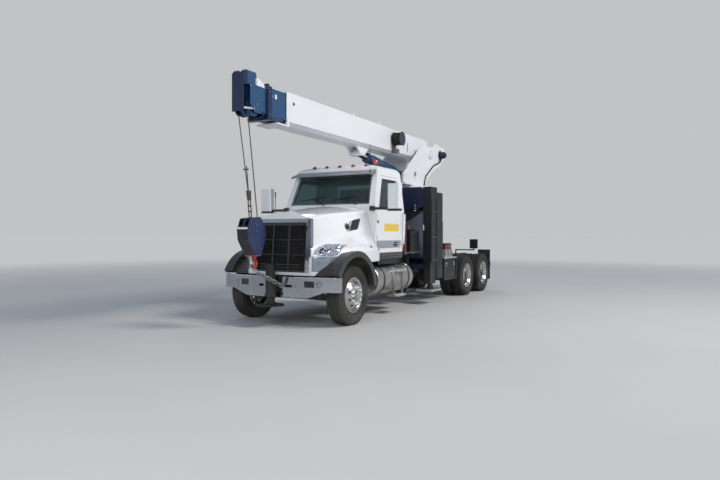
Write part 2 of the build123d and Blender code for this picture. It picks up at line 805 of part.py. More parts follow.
def jack_leg():
    x = at(jack_place)
    float_top = jack_float_z + jack_float_wall
    leg = rod((x, 0, float_top), (x, 0, 980), jack_rod_radius)
    leg += rod((x, 0, jack_low_z + 20), (x, 0, jack_low_z + 80), jack_radius - jack_wall - slide_gap)
    leg += rod((x, 0, 920), (x, 0, 980), jack_radius - jack_wall - slide_gap)
    disc = rod((x, 0, jack_float_z), (x, 0, float_top), jack_float_radius)
    socket = rod((x, 0, float_top), (x, 0, float_top + 50), jack_rod_radius + 25)
    return leg + disc + socket


def chain(start, end, count, wire):
    """Straight run of oval links, each a quarter turn from the last and hung inside it."""
    start, end = Vector(*start), Vector(*end)
    way = end - start
    pitch = way.length / count
    half = pitch / 2 + wire + slide_gap / 2
    links = []
    for index in range(count):
        plane = Plane(origin=start + way * ((index + 0.5) / count), z_dir=way.normalized())
        ring = Box(5 * wire, wire, 2 * half) - Box(3 * wire, 2 * wire, 2 * half - 2 * wire)
        links.append(plane * Rot(0, 0, 90 * (index % 2)) * ring)
    return links


# Cab

def cab_form(inset):
    """The cab as a solid block between its side outline and its front outline."""
    t = inset
    side = [(cab_front - t, cab_floor_z + t), (cab_front - t, windshield_foot[1]),
            (windshield_head[0] - t, windshield_head[1]), (windshield_head[0] - 40 - t, 2900 - t),
            (-1480, 2980 - t), (-1800, roof_top_z - t), (-2080, 2990 - t), (cab_back + 50 + t, 2930 - t),
            (cab_back + t, 2850 - t), (cab_back + t, cab_floor_z + t)]
    wide = cab_half_width - t
    gutter = cab_gutter_y - t
    low, crease = cab_floor_z + t, cab_crease_z
    right = [(wide - cab_tuck[1], low), (wide - cab_tuck[0], crease[1]), (wide, crease[0]), (wide, cab_belt_z),
             (gutter, cab_gutter_z)]
    over = Polyline(*[(-y, z) for y, z in reversed(right)], *right)
    curve = ThreePointArc((gutter, cab_gutter_z), (gutter - 45, 2905 - t), (gutter - 160, 2955 - t))
    other = ThreePointArc((-gutter + 160, 2955 - t), (-gutter + 45, 2905 - t), (-gutter, cab_gutter_z))
    crown = ThreePointArc((gutter - 160, 2955 - t), (0, roof_top_z + 5 - t), (-gutter + 160, 2955 - t))
    front = make_face(Curve() + [over, curve, crown, other])
    return prism(along(side), "y", -1200, 1200) & prism(front, "x", at(cab_back) - 50, at(cab_front) + 50)


def windshield_hole():
    """Space of the windshield's opening, seen from the front and kept to the sloping face."""
    low = windshield_foot[1] + 55
    top = windshield_head[1] - 45
    wide = windshield_half_width
    seen = prism([(-wide, low), (wide, low), (wide - 60, top), (-wide + 60, top)], "x", at(-1330), at(-900))
    return seen & prism(along([(-900, 2000), (-900, 2900), (-1420, 2900), (-1140, 2000)]), "y", -1200, 1200)


def back_window_hole():
    half, low, top = back_window
    return prism([(-half, low), (half, low), (half, top), (-half, top)], "x", at(cab_back) - 10,
                 at(cab_back) + cab_wall + 10)


def cab_shell():
    return cab_form(0.0) - cab_form(cab_wall)


def cab_parts():
    shell = cab_shell()
    shell -= windshield_hole()
    shell -= back_window_hole()
    frame_face = offset(flat(along(door_outline)), panel_gap, kind=Kind.INTERSECTION)
    body = shell
    for low, high in ((700, 1200), (-1200, -700)):
        body -= prism(frame_face, "y", low, high)
    above = block((at(-2500), at(-800)), (-1300, 1300), (roof_split_z, 3200))
    roof = body & above
    body -= above
    mount_places = (-1150, -2180)
    for place in mount_places:
        body += block((at(place) - 50, at(place) + 50), (-400, 400), (frame_top_z, cab_floor_z))
    x, y = at(door_hinge), door_hinge_y
    for z in door_hinge_z:
        body += both(rod((x, y, z - 44), (x, y, z + 44), door_pin_radius))
        for low in (z - 44, z + door_barrel_half + 1):
            body += both(block((x - door_pin_radius, x + 40), (cab_half_width + 3, y + door_pin_radius),
                               (low, low + 21)))
            body += both(block((x + 5, x + 40), (cab_half_width - 20, cab_half_width + 5), (low, low + 21)))
    return body, roof


def cab_door():
    shell = cab_shell()
    panel = shell & prism(along(door_outline), "y", 700, 1200)
    panel -= prism(along(door_window), "y", 700, 1200)
    x, y = at(door_hinge), door_hinge_y
    for z in door_hinge_z:
        low, top = z - door_barrel_half, z + door_barrel_half
        strap = rod((x, y, low), (x, y, top), door_pin_radius + 4)
        strap += block((x - 70, x), (cab_half_width - 10, y + 8), (low, top))
        strap -= rod((x, y, low - 5), (x, y, top + 5), door_pin_radius + pin_gap)
        strap -= block((x - 2, x + 20), (cab_half_width - 60, cab_half_width + 2), (low - 1, top + 1))
        panel += strap
    return panel


def door_glass():
    inner = cab_form(cab_wall / 2 - glass_wall / 2)
    pane = (inner - cab_form(cab_wall / 2 + glass_wall / 2)) & prism(along(door_window), "y", 700, 1200)
    return pane


def cab_glass():
    band = cab_form(12.0) - cab_form(12.0 + glass_wall)
    return band & windshield_hole(), band & back_window_hole()


def visor():
    edge = [(-1294, 2857.4), (-1030, 2755), (-1033, 2748), (-1290, 2846.4)]
    plate = prism(along(edge), "y", -930, 930)
    cheek = prism(along([(-1262, 2842), (-1030, 2755), (-1050, 2725), (-1250, 2775)]), "y", 922, 930)
    return plate + both(cheek)


def cab_interior():
    floor = cab_floor_z + cab_wall
    seat = block((at(-2080), at(-1620)), (290, 750), (floor, floor + 330))
    seat = seat + block((at(-2090), at(-1580)), (270, 770), (floor + 330, floor + 450))
    back = prism(along([(-1990, floor + 450), (-2090, floor + 450), (-2200, floor + 1130),
                        (-2110, floor + 1130)]), "y", 280, 760)
    seat = seat + back
    dash = prism(along([(-1045, 1560), (-1045, 2060), (-1150, 2090), (-1330, 1980), (-1370, 1850),
                        (-1280, 1560)]), "y", -900, 900)
    column = rod((at(-1300), 500, 1820), (at(-1560), 500, 1985), 28)
    ring = Plane(origin=(at(-1560), 500, 1985), z_dir=Vector(-0.845, 0, 0.536)) * (
        Torus(225, 17) + Box(430, 36, 20) + Cylinder(60, 26))
    return both(seat), dash + column + ring


def mirrors():
    head = block((at(-1030), at(-890)), (1360, 1610), (2020, 2530))
    head = fillet(head.edges().filter_by(Axis.Z), 30)
    low_arm = block((at(-985), at(-935)), (985, 1370), (2050, 2100))
    foot = block((at(-1000), at(-935)), (960, 1046), (2035, 2125))
    return both(head + low_arm + foot)


# Beside the frame

def fuel_tanks():
    y, z, r = tank_y, tank_z, tank_radius
    front, back = at(tank_front), at(tank_back)
    body = rod((back, y, z), (front, y, z), r)
    body = fillet(body.edges().filter_by(GeomType.CIRCLE), 35)
    length = front - back
    for share in (0.15, 0.5, 0.85):
        x = back + share * length
        strap = rod((x - 30, y, z), (x + 30, y, z), r + tank_strap)
        strap += block((x - 30, x + 30), (rail_outside_y, y), (frame_low_z + 10, z + r + tank_strap))
        body += strap
    x = at(step_place)
    for height in step_heights:
        body += block((x - step_length / 2, x + step_length / 2), (y + r - 120, 1250), (height, height + 30))
    for end in (-1, 1):
        ex = x + end * (step_length / 2 - 15)
        body += block((ex - 10, ex + 10), (y + r - 6, y + r + 30), (step_heights[0], step_heights[1] + 30))
    return body, mirrored(body)


def tool_boxes():
    low, top = box_low_z, box_top_z
    body = block((at(box_back), at(box_front)), (box_inside_y, box_outside_y), (low, top))
    recess = block((at(box_back) + 45, at(box_front) - 45), (box_outside_y - 18, box_outside_y + 5),
                   (low + 45, top - 45))
    body -= recess
    for x in (at(box_back) + 150, at(box_front) - 150):
        body += block((x - 30, x + 30), (rail_outside_y, box_inside_y + 5), (frame_low_z + 20, top - 40))
    strap_top = tank_z + tank_radius + tank_strap
    step = block((at(step_box_place[0]), at(step_box_place[1])), step_box_y,
                 (strap_top + seat_gap, cab_floor_z - seat_gap))
    return body, mirrored(body), step, mirrored(step)


def mud_guards():
    flap_x = at(flap_place)
    flap = block((flap_x - 6, flap_x + 6), (880, 1240), (300, 1150))
    hanger = rod((flap_x, rail_outside_y, 1000), (flap_x, 1240, 1000), 16)
    rear = flap + hanger + block((flap_x - 12, flap_x + 12), (880, 1240), (1100, 1150))
    return both(rear)


def tail_lamps():
    x = frame_end_x
    low = frame_low_z - tail_bar_height
    bar = block((x + 4, x + 64), (-1180, 1180), (low, frame_low_z))
    middle = low + tail_bar_height / 2
    for y in tail_lamp_y:
        bar += rod((x - tail_lamp_proud, y, middle), (x + 10, y, middle), tail_lamp_radius)
    return bar


# Crane base

def pedestal():
    half = pedestal_half_width
    front, back = at(pedestal_front), at(pedestal_back)
    low = frame_top_z
    beams = both(block((at(-5200), at(-2600)), (rail_outside_y - rail_flange, rail_outside_y),
                       (low, subframe_top_z)))
    tower = prism([(front + 120, subframe_top_z - 10), (back - 60, subframe_top_z - 10), (back, pedestal_top_z),
                   (front, pedestal_top_z)], "y", -half, half)
    hollow = prism([(front + 95, subframe_top_z - 20), (back - 35, subframe_top_z - 20),
                    (back + 25, pedestal_top_z - 40), (front - 25, pedestal_top_z - 40)],
                   "y", -half + 20, half - 20)
    body = beams + (tower - hollow)
    front_x, back_x = at(cross_box_front), at(cross_box_back)
    wide = cross_box_half_width
    cross = prism([(-wide, cross_box_low_z + 250), (-half, cross_box_low_z), (half, cross_box_low_z),
                   (wide, cross_box_low_z + 250), (wide, pedestal_top_z), (-wide, pedestal_top_z)],
                  "x", back_x, front_x)
    body += cross
    top = rod((slew_x, 0, pedestal_top_z - 60), (slew_x, 0, pedestal_top_z), slew_radius + 60)
    body += top
    leg_back = at(leg_front) - leg_length
    for x_low, x_high in ((at(leg_front) + 4, front_x), (back_x, leg_back - 4)):
        cheek = prism([(wide - 20, cross_box_low_z + 240), (1015, cross_box_low_z + 320), (1015, leg_pin_z + 60),
                       (960, pedestal_top_z), (wide - 20, pedestal_top_z)], "x", x_low, x_high)
        body += both(cheek)
    pin = rod((back_x, leg_pin_y, leg_pin_z), (front_x + 12, leg_pin_y, leg_pin_z), leg_pin_radius)
    body += both(pin)
    lower = block((leg_back, at(leg_front)), (rail_outside_y, leg_inside_y - seat_gap), (800, 900))
    body += both(lower)
    return body


def side_tanks():
    y, z = side_tank_y, side_tank_z
    body = block((at(side_tank_back), at(side_tank_front)), y, z)
    body = fillet(body.edges().filter_by(Axis.Z), 25)
    for height in (860, 960):
        body += block((at(side_tank_back) + 60, at(side_tank_front) - 60), (rail_outside_y, y[0] + 20),
                      (height, height + 50))
    x, low, top = at(receiver_place), receiver_z[0], receiver_z[1]
    receiver = rod((x, receiver_y, low), (x, receiver_y, top), receiver_radius)
    return body + receiver, mirrored(body)


def outrigger_leg():
    front, back = at(leg_front), at(leg_front) - leg_length
    inside, outside = leg_inside_y, leg_inside_y + leg_width
    tube = block((back, front), (inside, outside), (leg_low_z, leg_top_z))
    tube -= block((back + leg_wall, front - leg_wall), (inside + leg_wall, outside - leg_wall),
                  (leg_low_z - 10, leg_top_z - leg_wall))
    ear = prism([(inside + 4, leg_pin_z - 180), (leg_pin_y - 30, leg_pin_z - 62), (leg_pin_y - 60, leg_pin_z),
                 (leg_pin_y - 30, leg_pin_z + 62), (inside + 4, leg_top_z - 20)], "x", back, front)
    tube += ear
    tube -= rod((back - 5, leg_pin_y, leg_pin_z), (front + 5, leg_pin_y, leg_pin_z), leg_pin_radius + pin_gap)
    return tube


def outrigger_inner():
    front, back = at(leg_front), at(leg_front) - leg_length
    inside, outside = leg_inside_y, leg_inside_y + leg_width
    gap = leg_wall + wear_pad
    x = (back + gap, front - gap)
    y = (inside + gap, outside - gap)
    tube = block(x, y, (inner_leg_low_z, inner_leg_top_z))
    tube -= block((x[0] + inner_leg_wall, x[1] - inner_leg_wall), (y[0] + inner_leg_wall, y[1] - inner_leg_wall),
                  (inner_leg_low_z + 60, inner_leg_top_z + 5))
    reach = wear_pad - slide_gap
    for height in (inner_leg_top_z - 80, leg_low_z + 5):
        pad = block((x[0] - reach, x[1] + reach), (y[0] - reach, y[1] + reach), (height, height + 70))
        pad -= block((x[0] + 2, x[1] - 2), (y[0] + 2, y[1] - 2), (height - 5, height + 80))
        tube += pad
    middle = (inside + outside) / 2
    centre = (back + front) / 2
    lug = block((centre - 50, centre + 50), (middle - 40, middle + 40), (float_pin_z, inner_leg_low_z + 5))
    lug += rod((centre - 50, middle, float_pin_z), (centre + 50, middle, float_pin_z), 40)
    lug -= rod((centre - 60, middle, float_pin_z), (centre + 60, middle, float_pin_z), float_pin_radius + pin_gap)
    return tube + lug


def outrigger_float():
    centre = at(leg_front) - leg_length / 2
    middle = leg_inside_y + leg_width / 2 - 30
    pin_y = leg_inside_y + leg_width / 2
    low = float_low_z
    body = block((centre - float_half_length, centre + float_half_length),
                 (middle - float_half_width, middle + float_half_width), (low, low + float_wall))
    for side in (-1, 1):
        x = centre + side * 70
        cheek = prism([(pin_y - 60, low + float_wall), (pin_y + 60, low + float_wall), (pin_y + 30, float_pin_z + 28),
                       (pin_y - 30, float_pin_z + 28)], "x", x - 14, x + 14)
        body += cheek
    body += rod((centre - 84, pin_y, float_pin_z), (centre + 84, pin_y, float_pin_z), float_pin_radius)
    return body


# Turret, winch and boom

def turret():
    y = turret_plate_y
    ring = rod((slew_x, 0, pedestal_top_z + seat_gap), (slew_x, 0, turret_base_z), slew_radius)
    ring -= rod((slew_x, 0, pedestal_top_z - 5), (slew_x, 0, turret_base_z + 5), slew_radius - 130)
    base = block((at(-4960), at(-3560)), (-y - 60, y + 60), (turret_base_z, turret_base_z + 40))
    plate = prism(along(turret_outline), "y", y - turret_plate, y)
    body = ring + base + both(plate)
    px, pz = at(boom_pivot[0]), boom_pivot[1]
    body += rod((px, -y - 20, pz), (px, y + 20, pz), boom_pivot_radius)
    fx, fz = at(lift_foot[0]), lift_foot[1]
    body += rod((fx, -y, fz), (fx, y, fz), lift_pin_radius)
    for side in (1, -1):
        cheek = prism([(fx - 170, turret_base_z + 30), (fx + 170, turret_base_z + 30), (fx + 60, fz + 70),
                       (fx - 60, fz + 70)], "y", side * (lift_boss_half + 6), side * (lift_boss_half + 36))
        body += cheek
    body += block((at(-4920), at(-4880)), (-y + turret_plate, y - turret_plate), (turret_base_z + 40, 3180))
    wx, wz = at(winch_place[0]), winch_place[1]
    body += rod((wx, -y, wz), (wx, y, wz), spindle_radius)
    body += block((at(-6250), at(-6200)), (-y + turret_plate, y - turret_plate), (3700, 3860))
    return body


def winch_drum():
    x, z = at(winch_place[0]), winch_place[1]
    half = turret_plate_y - turret_plate - 12
    bore = spindle_radius + pin_gap
    return turned([(-half, bore), (-half, winch_flange_radius), (-half + 16, winch_flange_radius),
                   (-half + 16, winch_radius), (half - 16, winch_radius), (half - 16, winch_flange_radius),
                   (half, winch_flange_radius), (half, bore)], (x, 0, z))


def box_section(name, low_round=60.0):
    half, low, top, back, front, wall = boom_sections[name]
    def outline(inset):
        w, z0, z1 = half - inset, low + inset, top - inset
        cut = low_round - inset
        return [(-w + cut, z0), (w - cut, z0), (w, z0 + cut), (w, z1), (-w, z1), (-w, z0 + cut)]
    tube = prism(outline(0.0), "x", at(back), at(front))
    return tube - prism(outline(wall), "x", at(back) - 10, at(front) + 10)


def pads(name, outer_name, place, length):
    """Wear pads between a section and the one that carries it, fixed to the inner section."""
    half, low, top, back, front, wall = boom_sections[name]
    half_o, low_o, top_o, back_o, front_o, wall_o = boom_sections[outer_name]
    x = (at(place), at(place) + length)
    side = half_o - wall_o - slide_gap
    body = block(x, (half, side), (low + 90, low + 200)) + block(x, (half, side), (top - 160, top - 50))
    body = both(body)
    body += block(x, (-half + 60, half - 60), (low_o + wall_o + slide_gap, low))
    body += block(x, (-half + 60, half - 60), (top, top_o - wall_o - slide_gap))
    return body


def boom_base():
    half, low, top, back, front, wall = boom_sections["boom_base"]
    body = box_section("boom_base")
    px, pz = at(boom_pivot[0]), boom_pivot[1]
    body += block((at(back) - 10, at(back) + 20), (-half + 2, half - 2), (low + 62, top - 2))
    body += rod((px, -boom_boss_reach, pz), (px, boom_boss_reach, pz), boom_pivot_radius + 70)
    body -= rod((px, -600, pz), (px, 600, pz), boom_pivot_radius + pin_gap)
    ex, ez = at(lift_eye[0]), lift_eye[1]
    for side in (1, -1):
        lug = prism([(ex - 260, low + 2), (ex + 260, low + 2), (ex + 70, ez - 60), (ex - 70, ez - 60)],
                    "y", side * (lift_boss_half + 6), side * (lift_boss_half + 40))
        head = rod((ex, side * (lift_boss_half + 6), ez), (ex, side * (lift_boss_half + 52), ez), lift_pin_radius)
        body += lug + head
    tip = at(front)
    body += block((tip - 60, tip + 260), (-half, half), (low - 24, low + 2))
    collar = block((tip - 60, tip), (-half - 10, half + 10), (low - 24, low + 120))
    collar -= block((tip - 70, tip + 10), (-half + wall, half - wall), (low + wall, low + 200))
    body += collar
    for place in boom_lug_places:
        body += block((at(place) - 30, at(place) + 30), (half - 100, half - 10), (top - 5, top + boom_lug_height))
    return body


def cable_reel():
    half = boom_sections["boom_base"][0]
    x, z = at(reel_place[0]), reel_place[1]
    near, far = reel_y
    low = boom_sections["boom_base"][1]
    bracket = block((x - 60, x + 60), (half, near + 5), (low + 20, z + 60))
    bracket += block((x - 90, x + 90), (half, half + 110), (low + 20, low + 110))
    rim_r, core = reel_radius, reel_core
    drum = turned([(near, 0), (near, rim_r), (near + 12, rim_r), (near + 12, core), (far - 12, core),
                   (far - 12, rim_r), (far, rim_r), (far, 0)], (x, 0, z))
    return bracket + drum


def boom_mid():
    half, low, top, back, front, wall = boom_sections["boom_mid"]
    body = box_section("boom_mid") + pads("boom_mid", "boom_base", back + 10, 90)
    body += pads("boom_mid", "boom_base", boom_sections["boom_base"][4] - 110, 90)
    grow = boom_collar
    back_x = at(front) - boom_collar_length
    collar = block((back_x, at(front)), (-half - grow, half + grow), (low - grow, top + grow))
    collar -= block((back_x - 10, at(front) + 10), (-half + wall, half - wall), (low + wall, top - wall))
    lug = block((back_x + 30, back_x + 70), (half - 90, half - 10), (top + grow - 5, top + grow + boom_lug_height))
    return body + collar + lug


def sheave(place, y, half, radius, groove):
    """Solid grooved wheel on an axle along Y."""
    return turned([(-half, 0), (-half, radius), (-half * 0.5, radius - groove), (half * 0.5, radius - groove),
                   (half, radius), (half, 0)], (at(place[0]), y, place[1]))


def boom_tip():
    """Tip section whose open end carries two line sheaves outside a narrow closed head."""
    half, low, top, back, front, wall = boom_sections["boom_tip"]
    body = box_section("boom_tip")
    corner = [(head_corner[0][0], low - 10), head_corner[0], head_corner[1], (front + 10, head_corner[1][1]),
              (front + 10, low - 10)]
    body -= prism(along(corner), "y", -half - 10, half + 10)
    body -= block((at(head_slot_back), at(front) + 10), (-head_slot_half, head_slot_half), (low - 10, low + 40))
    body += pads("boom_tip", "boom_mid", back + 10, 90)
    body += pads("boom_tip", "boom_mid", boom_sections["boom_mid"][4] - 110, 90)
    body += block((at(head_slot_back) - 30, at(head_slot_back)), (-half + 2, half - 2), (low + 62, top - 2))
    wide = head_half_width
    web = along([(head_slot_back - 10, low + 80), (head_slot_back - 10, top - 4), (head_back, top - 4),
                 (head_back + 60, head_top_z), (head_front - 60, head_top_z), (head_front, head_top_z - 60),
                 (head_front, head_low_z + 60), (head_front - 60, head_low_z), (head_front - 200, head_low_z)])
    body += both(prism(web, "y", head_web_y[0], head_web_y[1]))
    cheek = along([(head_back, top - wall), (head_back + 60, head_top_z), (head_front - 60, head_top_z),
                   (head_front, head_top_z - 60), (head_front, top - wall)])
    body += both(prism(cheek, "y", wide - head_plate, wide))
    body += block((at(head_front) - head_plate, at(head_front)), (-wide, wide), (head_low_z + 60, head_top_z - 60))
    hx, hz = at(head_sheave[0]), head_sheave[1]
    body += rod((hx, -half + 2, hz), (hx, half - 2, hz), 45)
    for y in (-head_sheave_y, head_sheave_y):
        body += sheave(head_sheave, y, head_sheave_half, head_sheave_radius, head_groove)
    body += rod((at(top_sheave[0]), -wide, top_sheave[1]), (at(top_sheave[0]), wide, top_sheave[1]), 30)
    return body + sheave(top_sheave, 0, 28, top_sheave_radius, 22)


def hung(shape):
    """A shape drawn plumb below the head, leaned back to where the tie-down chain holds it."""
    pivot = Axis((at(head_sheave[0]), 0, head_sheave[1]), (0, 1, 0))
    return shape.rotate(pivot, hang_lean)


def line_offset():
    """Distance of a line's middle ahead of the head sheave's centre."""
    return head_sheave_radius - head_groove + line_radius + slide_gap


def hoist_lines():
    """One line down to a wedge socket with its links, and one down to the block's sheave."""
    x = at(head_sheave[0]) + line_offset()
    top = head_sheave[1]
    socket_top = top - socket_drop
    block_top = top - block_drop + block_high
    sheave_z = top - block_drop + block_sheave_rise
    behind = block_sheave_radius - block_groove + line_radius + slide_gap
    slot_y = (block_slot[0] + block_slot[1]) / 2
    live = rod((x, -head_sheave_y, top), (x, -12, socket_top), line_radius)
    fall = rod((x - behind, slot_y, sheave_z), (x, head_sheave_y, top), line_radius)
    socket = prism([(-28, socket_top), (28, socket_top), (20, socket_top - 150), (-20, socket_top - 150)],
                   "x", x - 30, x + 30)
    tail = rod((x + 20, 14, socket_top - 5), (x + 20, 14, socket_top + 400), line_radius - 1)
    clip = block((x - 14, x + 34), (-52, 26), (socket_top + 330, socket_top + 355))
    links = chain((x, 0, socket_top - 150 - chain_wire), (x, 0, block_top + chain_wire + seat_gap), 3, chain_wire)
    return [hung(live + socket + tail + clip), hung(fall)] + [hung(link) for link in links]


def hook_block():
    x = at(head_sheave[0]) + line_offset()
    z = head_sheave[1] - block_drop
    wide, deep, near, far = block_half_width, block_half_depth, block_slot[0], block_slot[1]
    side = [(x - deep, z + 100), (x - deep, z - 60), (x - 80, z - block_low), (x + 80, z - block_low),
            (x + deep, z - 60), (x + deep, z + 100), (x + 130, z + block_high), (x - 130, z + block_high)]
    body = prism(side, "y", -wide, wide)
    reach = block_slot_reach
    for y in (-1, 1):
        body -= block((x - reach, x + reach), (y * near, y * far), (z - 110, z + 400))
        wheel = sheave((head_sheave[0] + line_offset(), z + block_sheave_rise), y * (near + far) / 2,
                       (far - near) / 2, block_sheave_radius, block_groove)
        body += wheel
    neck = z - block_low
    body += rod((x, 0, neck - hook_neck), (x, 0, neck + 5), 34)
    centre = neck - hook_neck - hook_radius + 8
    bowl = Circle(hook_radius) - Circle(hook_radius - hook_thickness)
    bowl -= Pos(hook_radius * 0.75, hook_radius * 0.42) * Rectangle(hook_radius, hook_radius * 0.84)
    body += prism(Pos(x, centre) * bowl, "y", -hook_thickness / 2, hook_thickness / 2)
    return hung(body)


def hook_end():
    """Lowest point of the hook once the block is leaned back."""
    drop = block_drop + block_low + hook_neck + 2 * hook_radius - 8
    lean = radians(hang_lean)
    ahead = line_offset()
    return (at(head_sheave[0]) + ahead * cos(lean) - drop * sin(lean),
            head_sheave[1] - ahead * sin(lean) - drop * cos(lean))


def tie_chain():
    x, z = hook_end()
    lug_x = bumper_face_x(chain_y - 14)
    start = (lug_x + 46, chain_y, 700)
    end = (x, 20, z - 2.8 * chain_wire)
    links = chain(start, end, chain_links, chain_wire)
    lug = block((lug_x, lug_x + 60), (chain_y - 14, chain_y + 14), (670, 730))
    lug -= rod((lug_x + 40, chain_y - 20, 700), (lug_x + 40, chain_y + 20, 700), chain_wire)
    return [lug] + links


def lift_frame():
    fx, fz = at(lift_foot[0]), lift_foot[1]
    ex, ez = at(lift_eye[0]), lift_eye[1]
    way = Vector(ex - fx, 0, ez - fz)
    return Vector(fx, 0, fz), way.normalized(), way.length


def lift_barrel():
    foot, way, length = lift_frame()
    start = foot + way * 60
    end = foot + way * lift_barrel_length
    body = rod(tuple(start), tuple(end), lift_barrel_radius)
    body += rod((foot.X, -lift_boss_half, foot.Z), (foot.X, lift_boss_half, foot.Z), lift_barrel_radius - 10)
    body -= rod((foot.X, -200, foot.Z), (foot.X, 200, foot.Z), lift_pin_radius + pin_gap)
    inner = foot + way * 200
    body -= rod(tuple(inner), tuple(end + way * 10), lift_rod_radius + slide_gap)
    return body


def lift_rod():
    foot, way, length = lift_frame()
    eye = foot + way * length
    start = foot + way * 330
    body = rod(tuple(start), tuple(eye - way * 40), lift_rod_radius)
    body += rod((eye.X, -lift_boss_half, eye.Z), (eye.X, lift_boss_half, eye.Z), 75)
    return body - rod((eye.X, -200, eye.Z), (eye.X, 200, eye.Z), lift_pin_radius + pin_gap)


def fifth_wheel():
    x, z = at(fifth_place), fifth_pin_z
    wide, top = fifth_half_width, fifth_top_z
    outline = [(x + 290, -260), (x + 180, -wide), (x - 250, -wide), (x - 400, -320), (x - 400, -170),
               (x - 60, -fifth_slot_half), (x - 60, fifth_slot_half), (x - 400, 170), (x - 400, 320),
               (x - 250, wide), (x + 180, wide), (x + 290, 260)]
    plate = prism(outline, "z", top - fifth_plate, top)
    plate -= rod((x, 0, top - 60), (x, 0, top + 10), king_pin_bore_radius)
    inner = rail_outside_y - 60 - panel_gap
    for side in (1, -1):
        plate += block((x - 60, x + 60), (side * inner, side * (inner - 60)), (z - 20, top - fifth_plate + 5))
        plate += rod((x, side * (inner - 60), z), (x, side * (inner + panel_gap + 40), z), 20 - pin_gap)
        plate += block((x - 200, x - 20), (side * 60, side * (inner - 30)), (z, top - fifth_plate + 5))
    return plate


os.makedirs("parts", exist_ok=True)
cab_body, cab_roof = cab_parts()
save("frame", frame())
save("front_axle", front_axle())
save("drive_axles", drive_axles())
save("engine_block", engine_block())
save("bumper", *bumper())
save("front_jack", front_jack())
save("tie_chain", *tie_chain())
save("cab_body", cab_body)
save("cab_roof", cab_roof)
save("cab_glass", *cab_glass())
save("visor", visor())
save("cab_interior", *cab_interior())
save("mirrors", mirrors())
save("fuel_tanks", *fuel_tanks())
save("tool_boxes", *tool_boxes())
save("mud_guards", mud_guards())
save("tail_lamps", tail_lamps())
save("pedestal", pedestal())
save("side_tanks", *side_tanks())
save("hood", hood())
save("grille", grille())
save("grille_surround", grille_surround())
save("flares", flares())
save("headlamps", *headlamps())
save("turret", turret())
save("winch_drum", winch_drum())
save("boom_base", boom_base())
save("cable_reel", cable_reel())
save("boom_mid", boom_mid())
save("boom_tip", boom_tip())
save("hoist_lines", *hoist_lines())
save("hook_block", hook_block())
save("lift_barrel", lift_barrel())
save("lift_rod", lift_rod())
save("jack_leg", jack_leg())
save("fifth_wheel", fifth_wheel())

sides = {"l": lambda shape: shape, "r": mirrored}
for side, placed in sides.items():
    save(f"knuckle_{side}", placed(knuckle()))
    save(f"front_wheel_{side}", placed(front_wheel()))
    save(f"front_tyre_{side}", placed(tyre(front_axle_x, front_tyre_y)))
    for number, x in enumerate(drive_axle_x, 1):
        save(f"drive_wheels_{number}{side}", placed(twin_wheels(x)))
        save(f"drive_tyres_{number}{side}", *(placed(one) for one in twin_tyres(x)))
    save(f"door_{side}", placed(cab_door()))
    save(f"door_glass_{side}", placed(door_glass()))
    save(f"outrigger_leg_{side}", placed(outrigger_leg()))
    save(f"outrigger_inner_{side}", placed(outrigger_inner()))
    save(f"outrigger_float_{side}", placed(outrigger_float()))
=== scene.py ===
from math import cos, pi, radians, sin

import bmesh
import bpy
from bpy.props import FloatProperty, FloatVectorProperty, IntProperty, PointerProperty
from mathutils import Matrix, Vector
from mathutils.bvhtree import BVHTree


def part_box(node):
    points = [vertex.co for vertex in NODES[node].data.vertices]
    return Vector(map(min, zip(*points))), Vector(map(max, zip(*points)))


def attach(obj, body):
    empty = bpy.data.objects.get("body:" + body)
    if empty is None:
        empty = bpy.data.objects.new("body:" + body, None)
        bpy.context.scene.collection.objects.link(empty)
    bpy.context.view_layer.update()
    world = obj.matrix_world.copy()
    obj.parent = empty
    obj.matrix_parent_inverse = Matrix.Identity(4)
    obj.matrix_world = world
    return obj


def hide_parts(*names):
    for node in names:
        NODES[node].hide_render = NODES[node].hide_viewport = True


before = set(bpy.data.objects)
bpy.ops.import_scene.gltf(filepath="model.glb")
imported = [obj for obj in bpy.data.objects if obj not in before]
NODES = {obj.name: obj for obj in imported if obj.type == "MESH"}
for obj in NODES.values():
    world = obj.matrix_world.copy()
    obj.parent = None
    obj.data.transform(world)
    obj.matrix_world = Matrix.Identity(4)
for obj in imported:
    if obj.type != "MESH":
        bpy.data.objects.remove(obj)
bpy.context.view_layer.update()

bl_info = {
    "name": "Boom Truck Finish",
    "version": (1, 0, 0),
    "blender": (4, 5, 0),
    "location": "View3D > Sidebar > Boom Truck",
    "description": "Paint, rubber, glass, tread and small fittings for a boom truck",
    "category": "Object",
}

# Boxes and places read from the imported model, in metres
SIDES = {"l": 1, "r": -1}


def middle(node):
    low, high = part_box(node)
    return (low + high) / 2


FRONT_WHEEL = middle("front_tyre_l")
DRIVE_WHEELS = [middle("drive_tyres_1l"), middle("drive_tyres_2l")]
TYRE_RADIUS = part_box("front_tyre_l")[1].z / 2
TYRE_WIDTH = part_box("front_tyre_l")[1].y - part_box("front_tyre_l")[0].y
TYRE_STEPS = 96
# Outer face of a drive wheel, the depth of its dish and the plate that the nuts stand on
DRIVE_NUTS_Y = 1.08 - 0.168 + 0.012

# Paint edges, a painted shade band and outlines read from the photograph; X and Z are measured from the front
# axle and the ground
SILL_Z = 1.228
# Heights of the bluish grey band on each door: painted shade along the recess below the door's crease
DOOR_SHADE_BAND_Z = (1.312, 1.466)
DOOR_LABEL_X = (-2.036, -1.38)
DOOR_LABEL_Z = (1.645, 1.795)
TIP_TOP_Z = 3.978
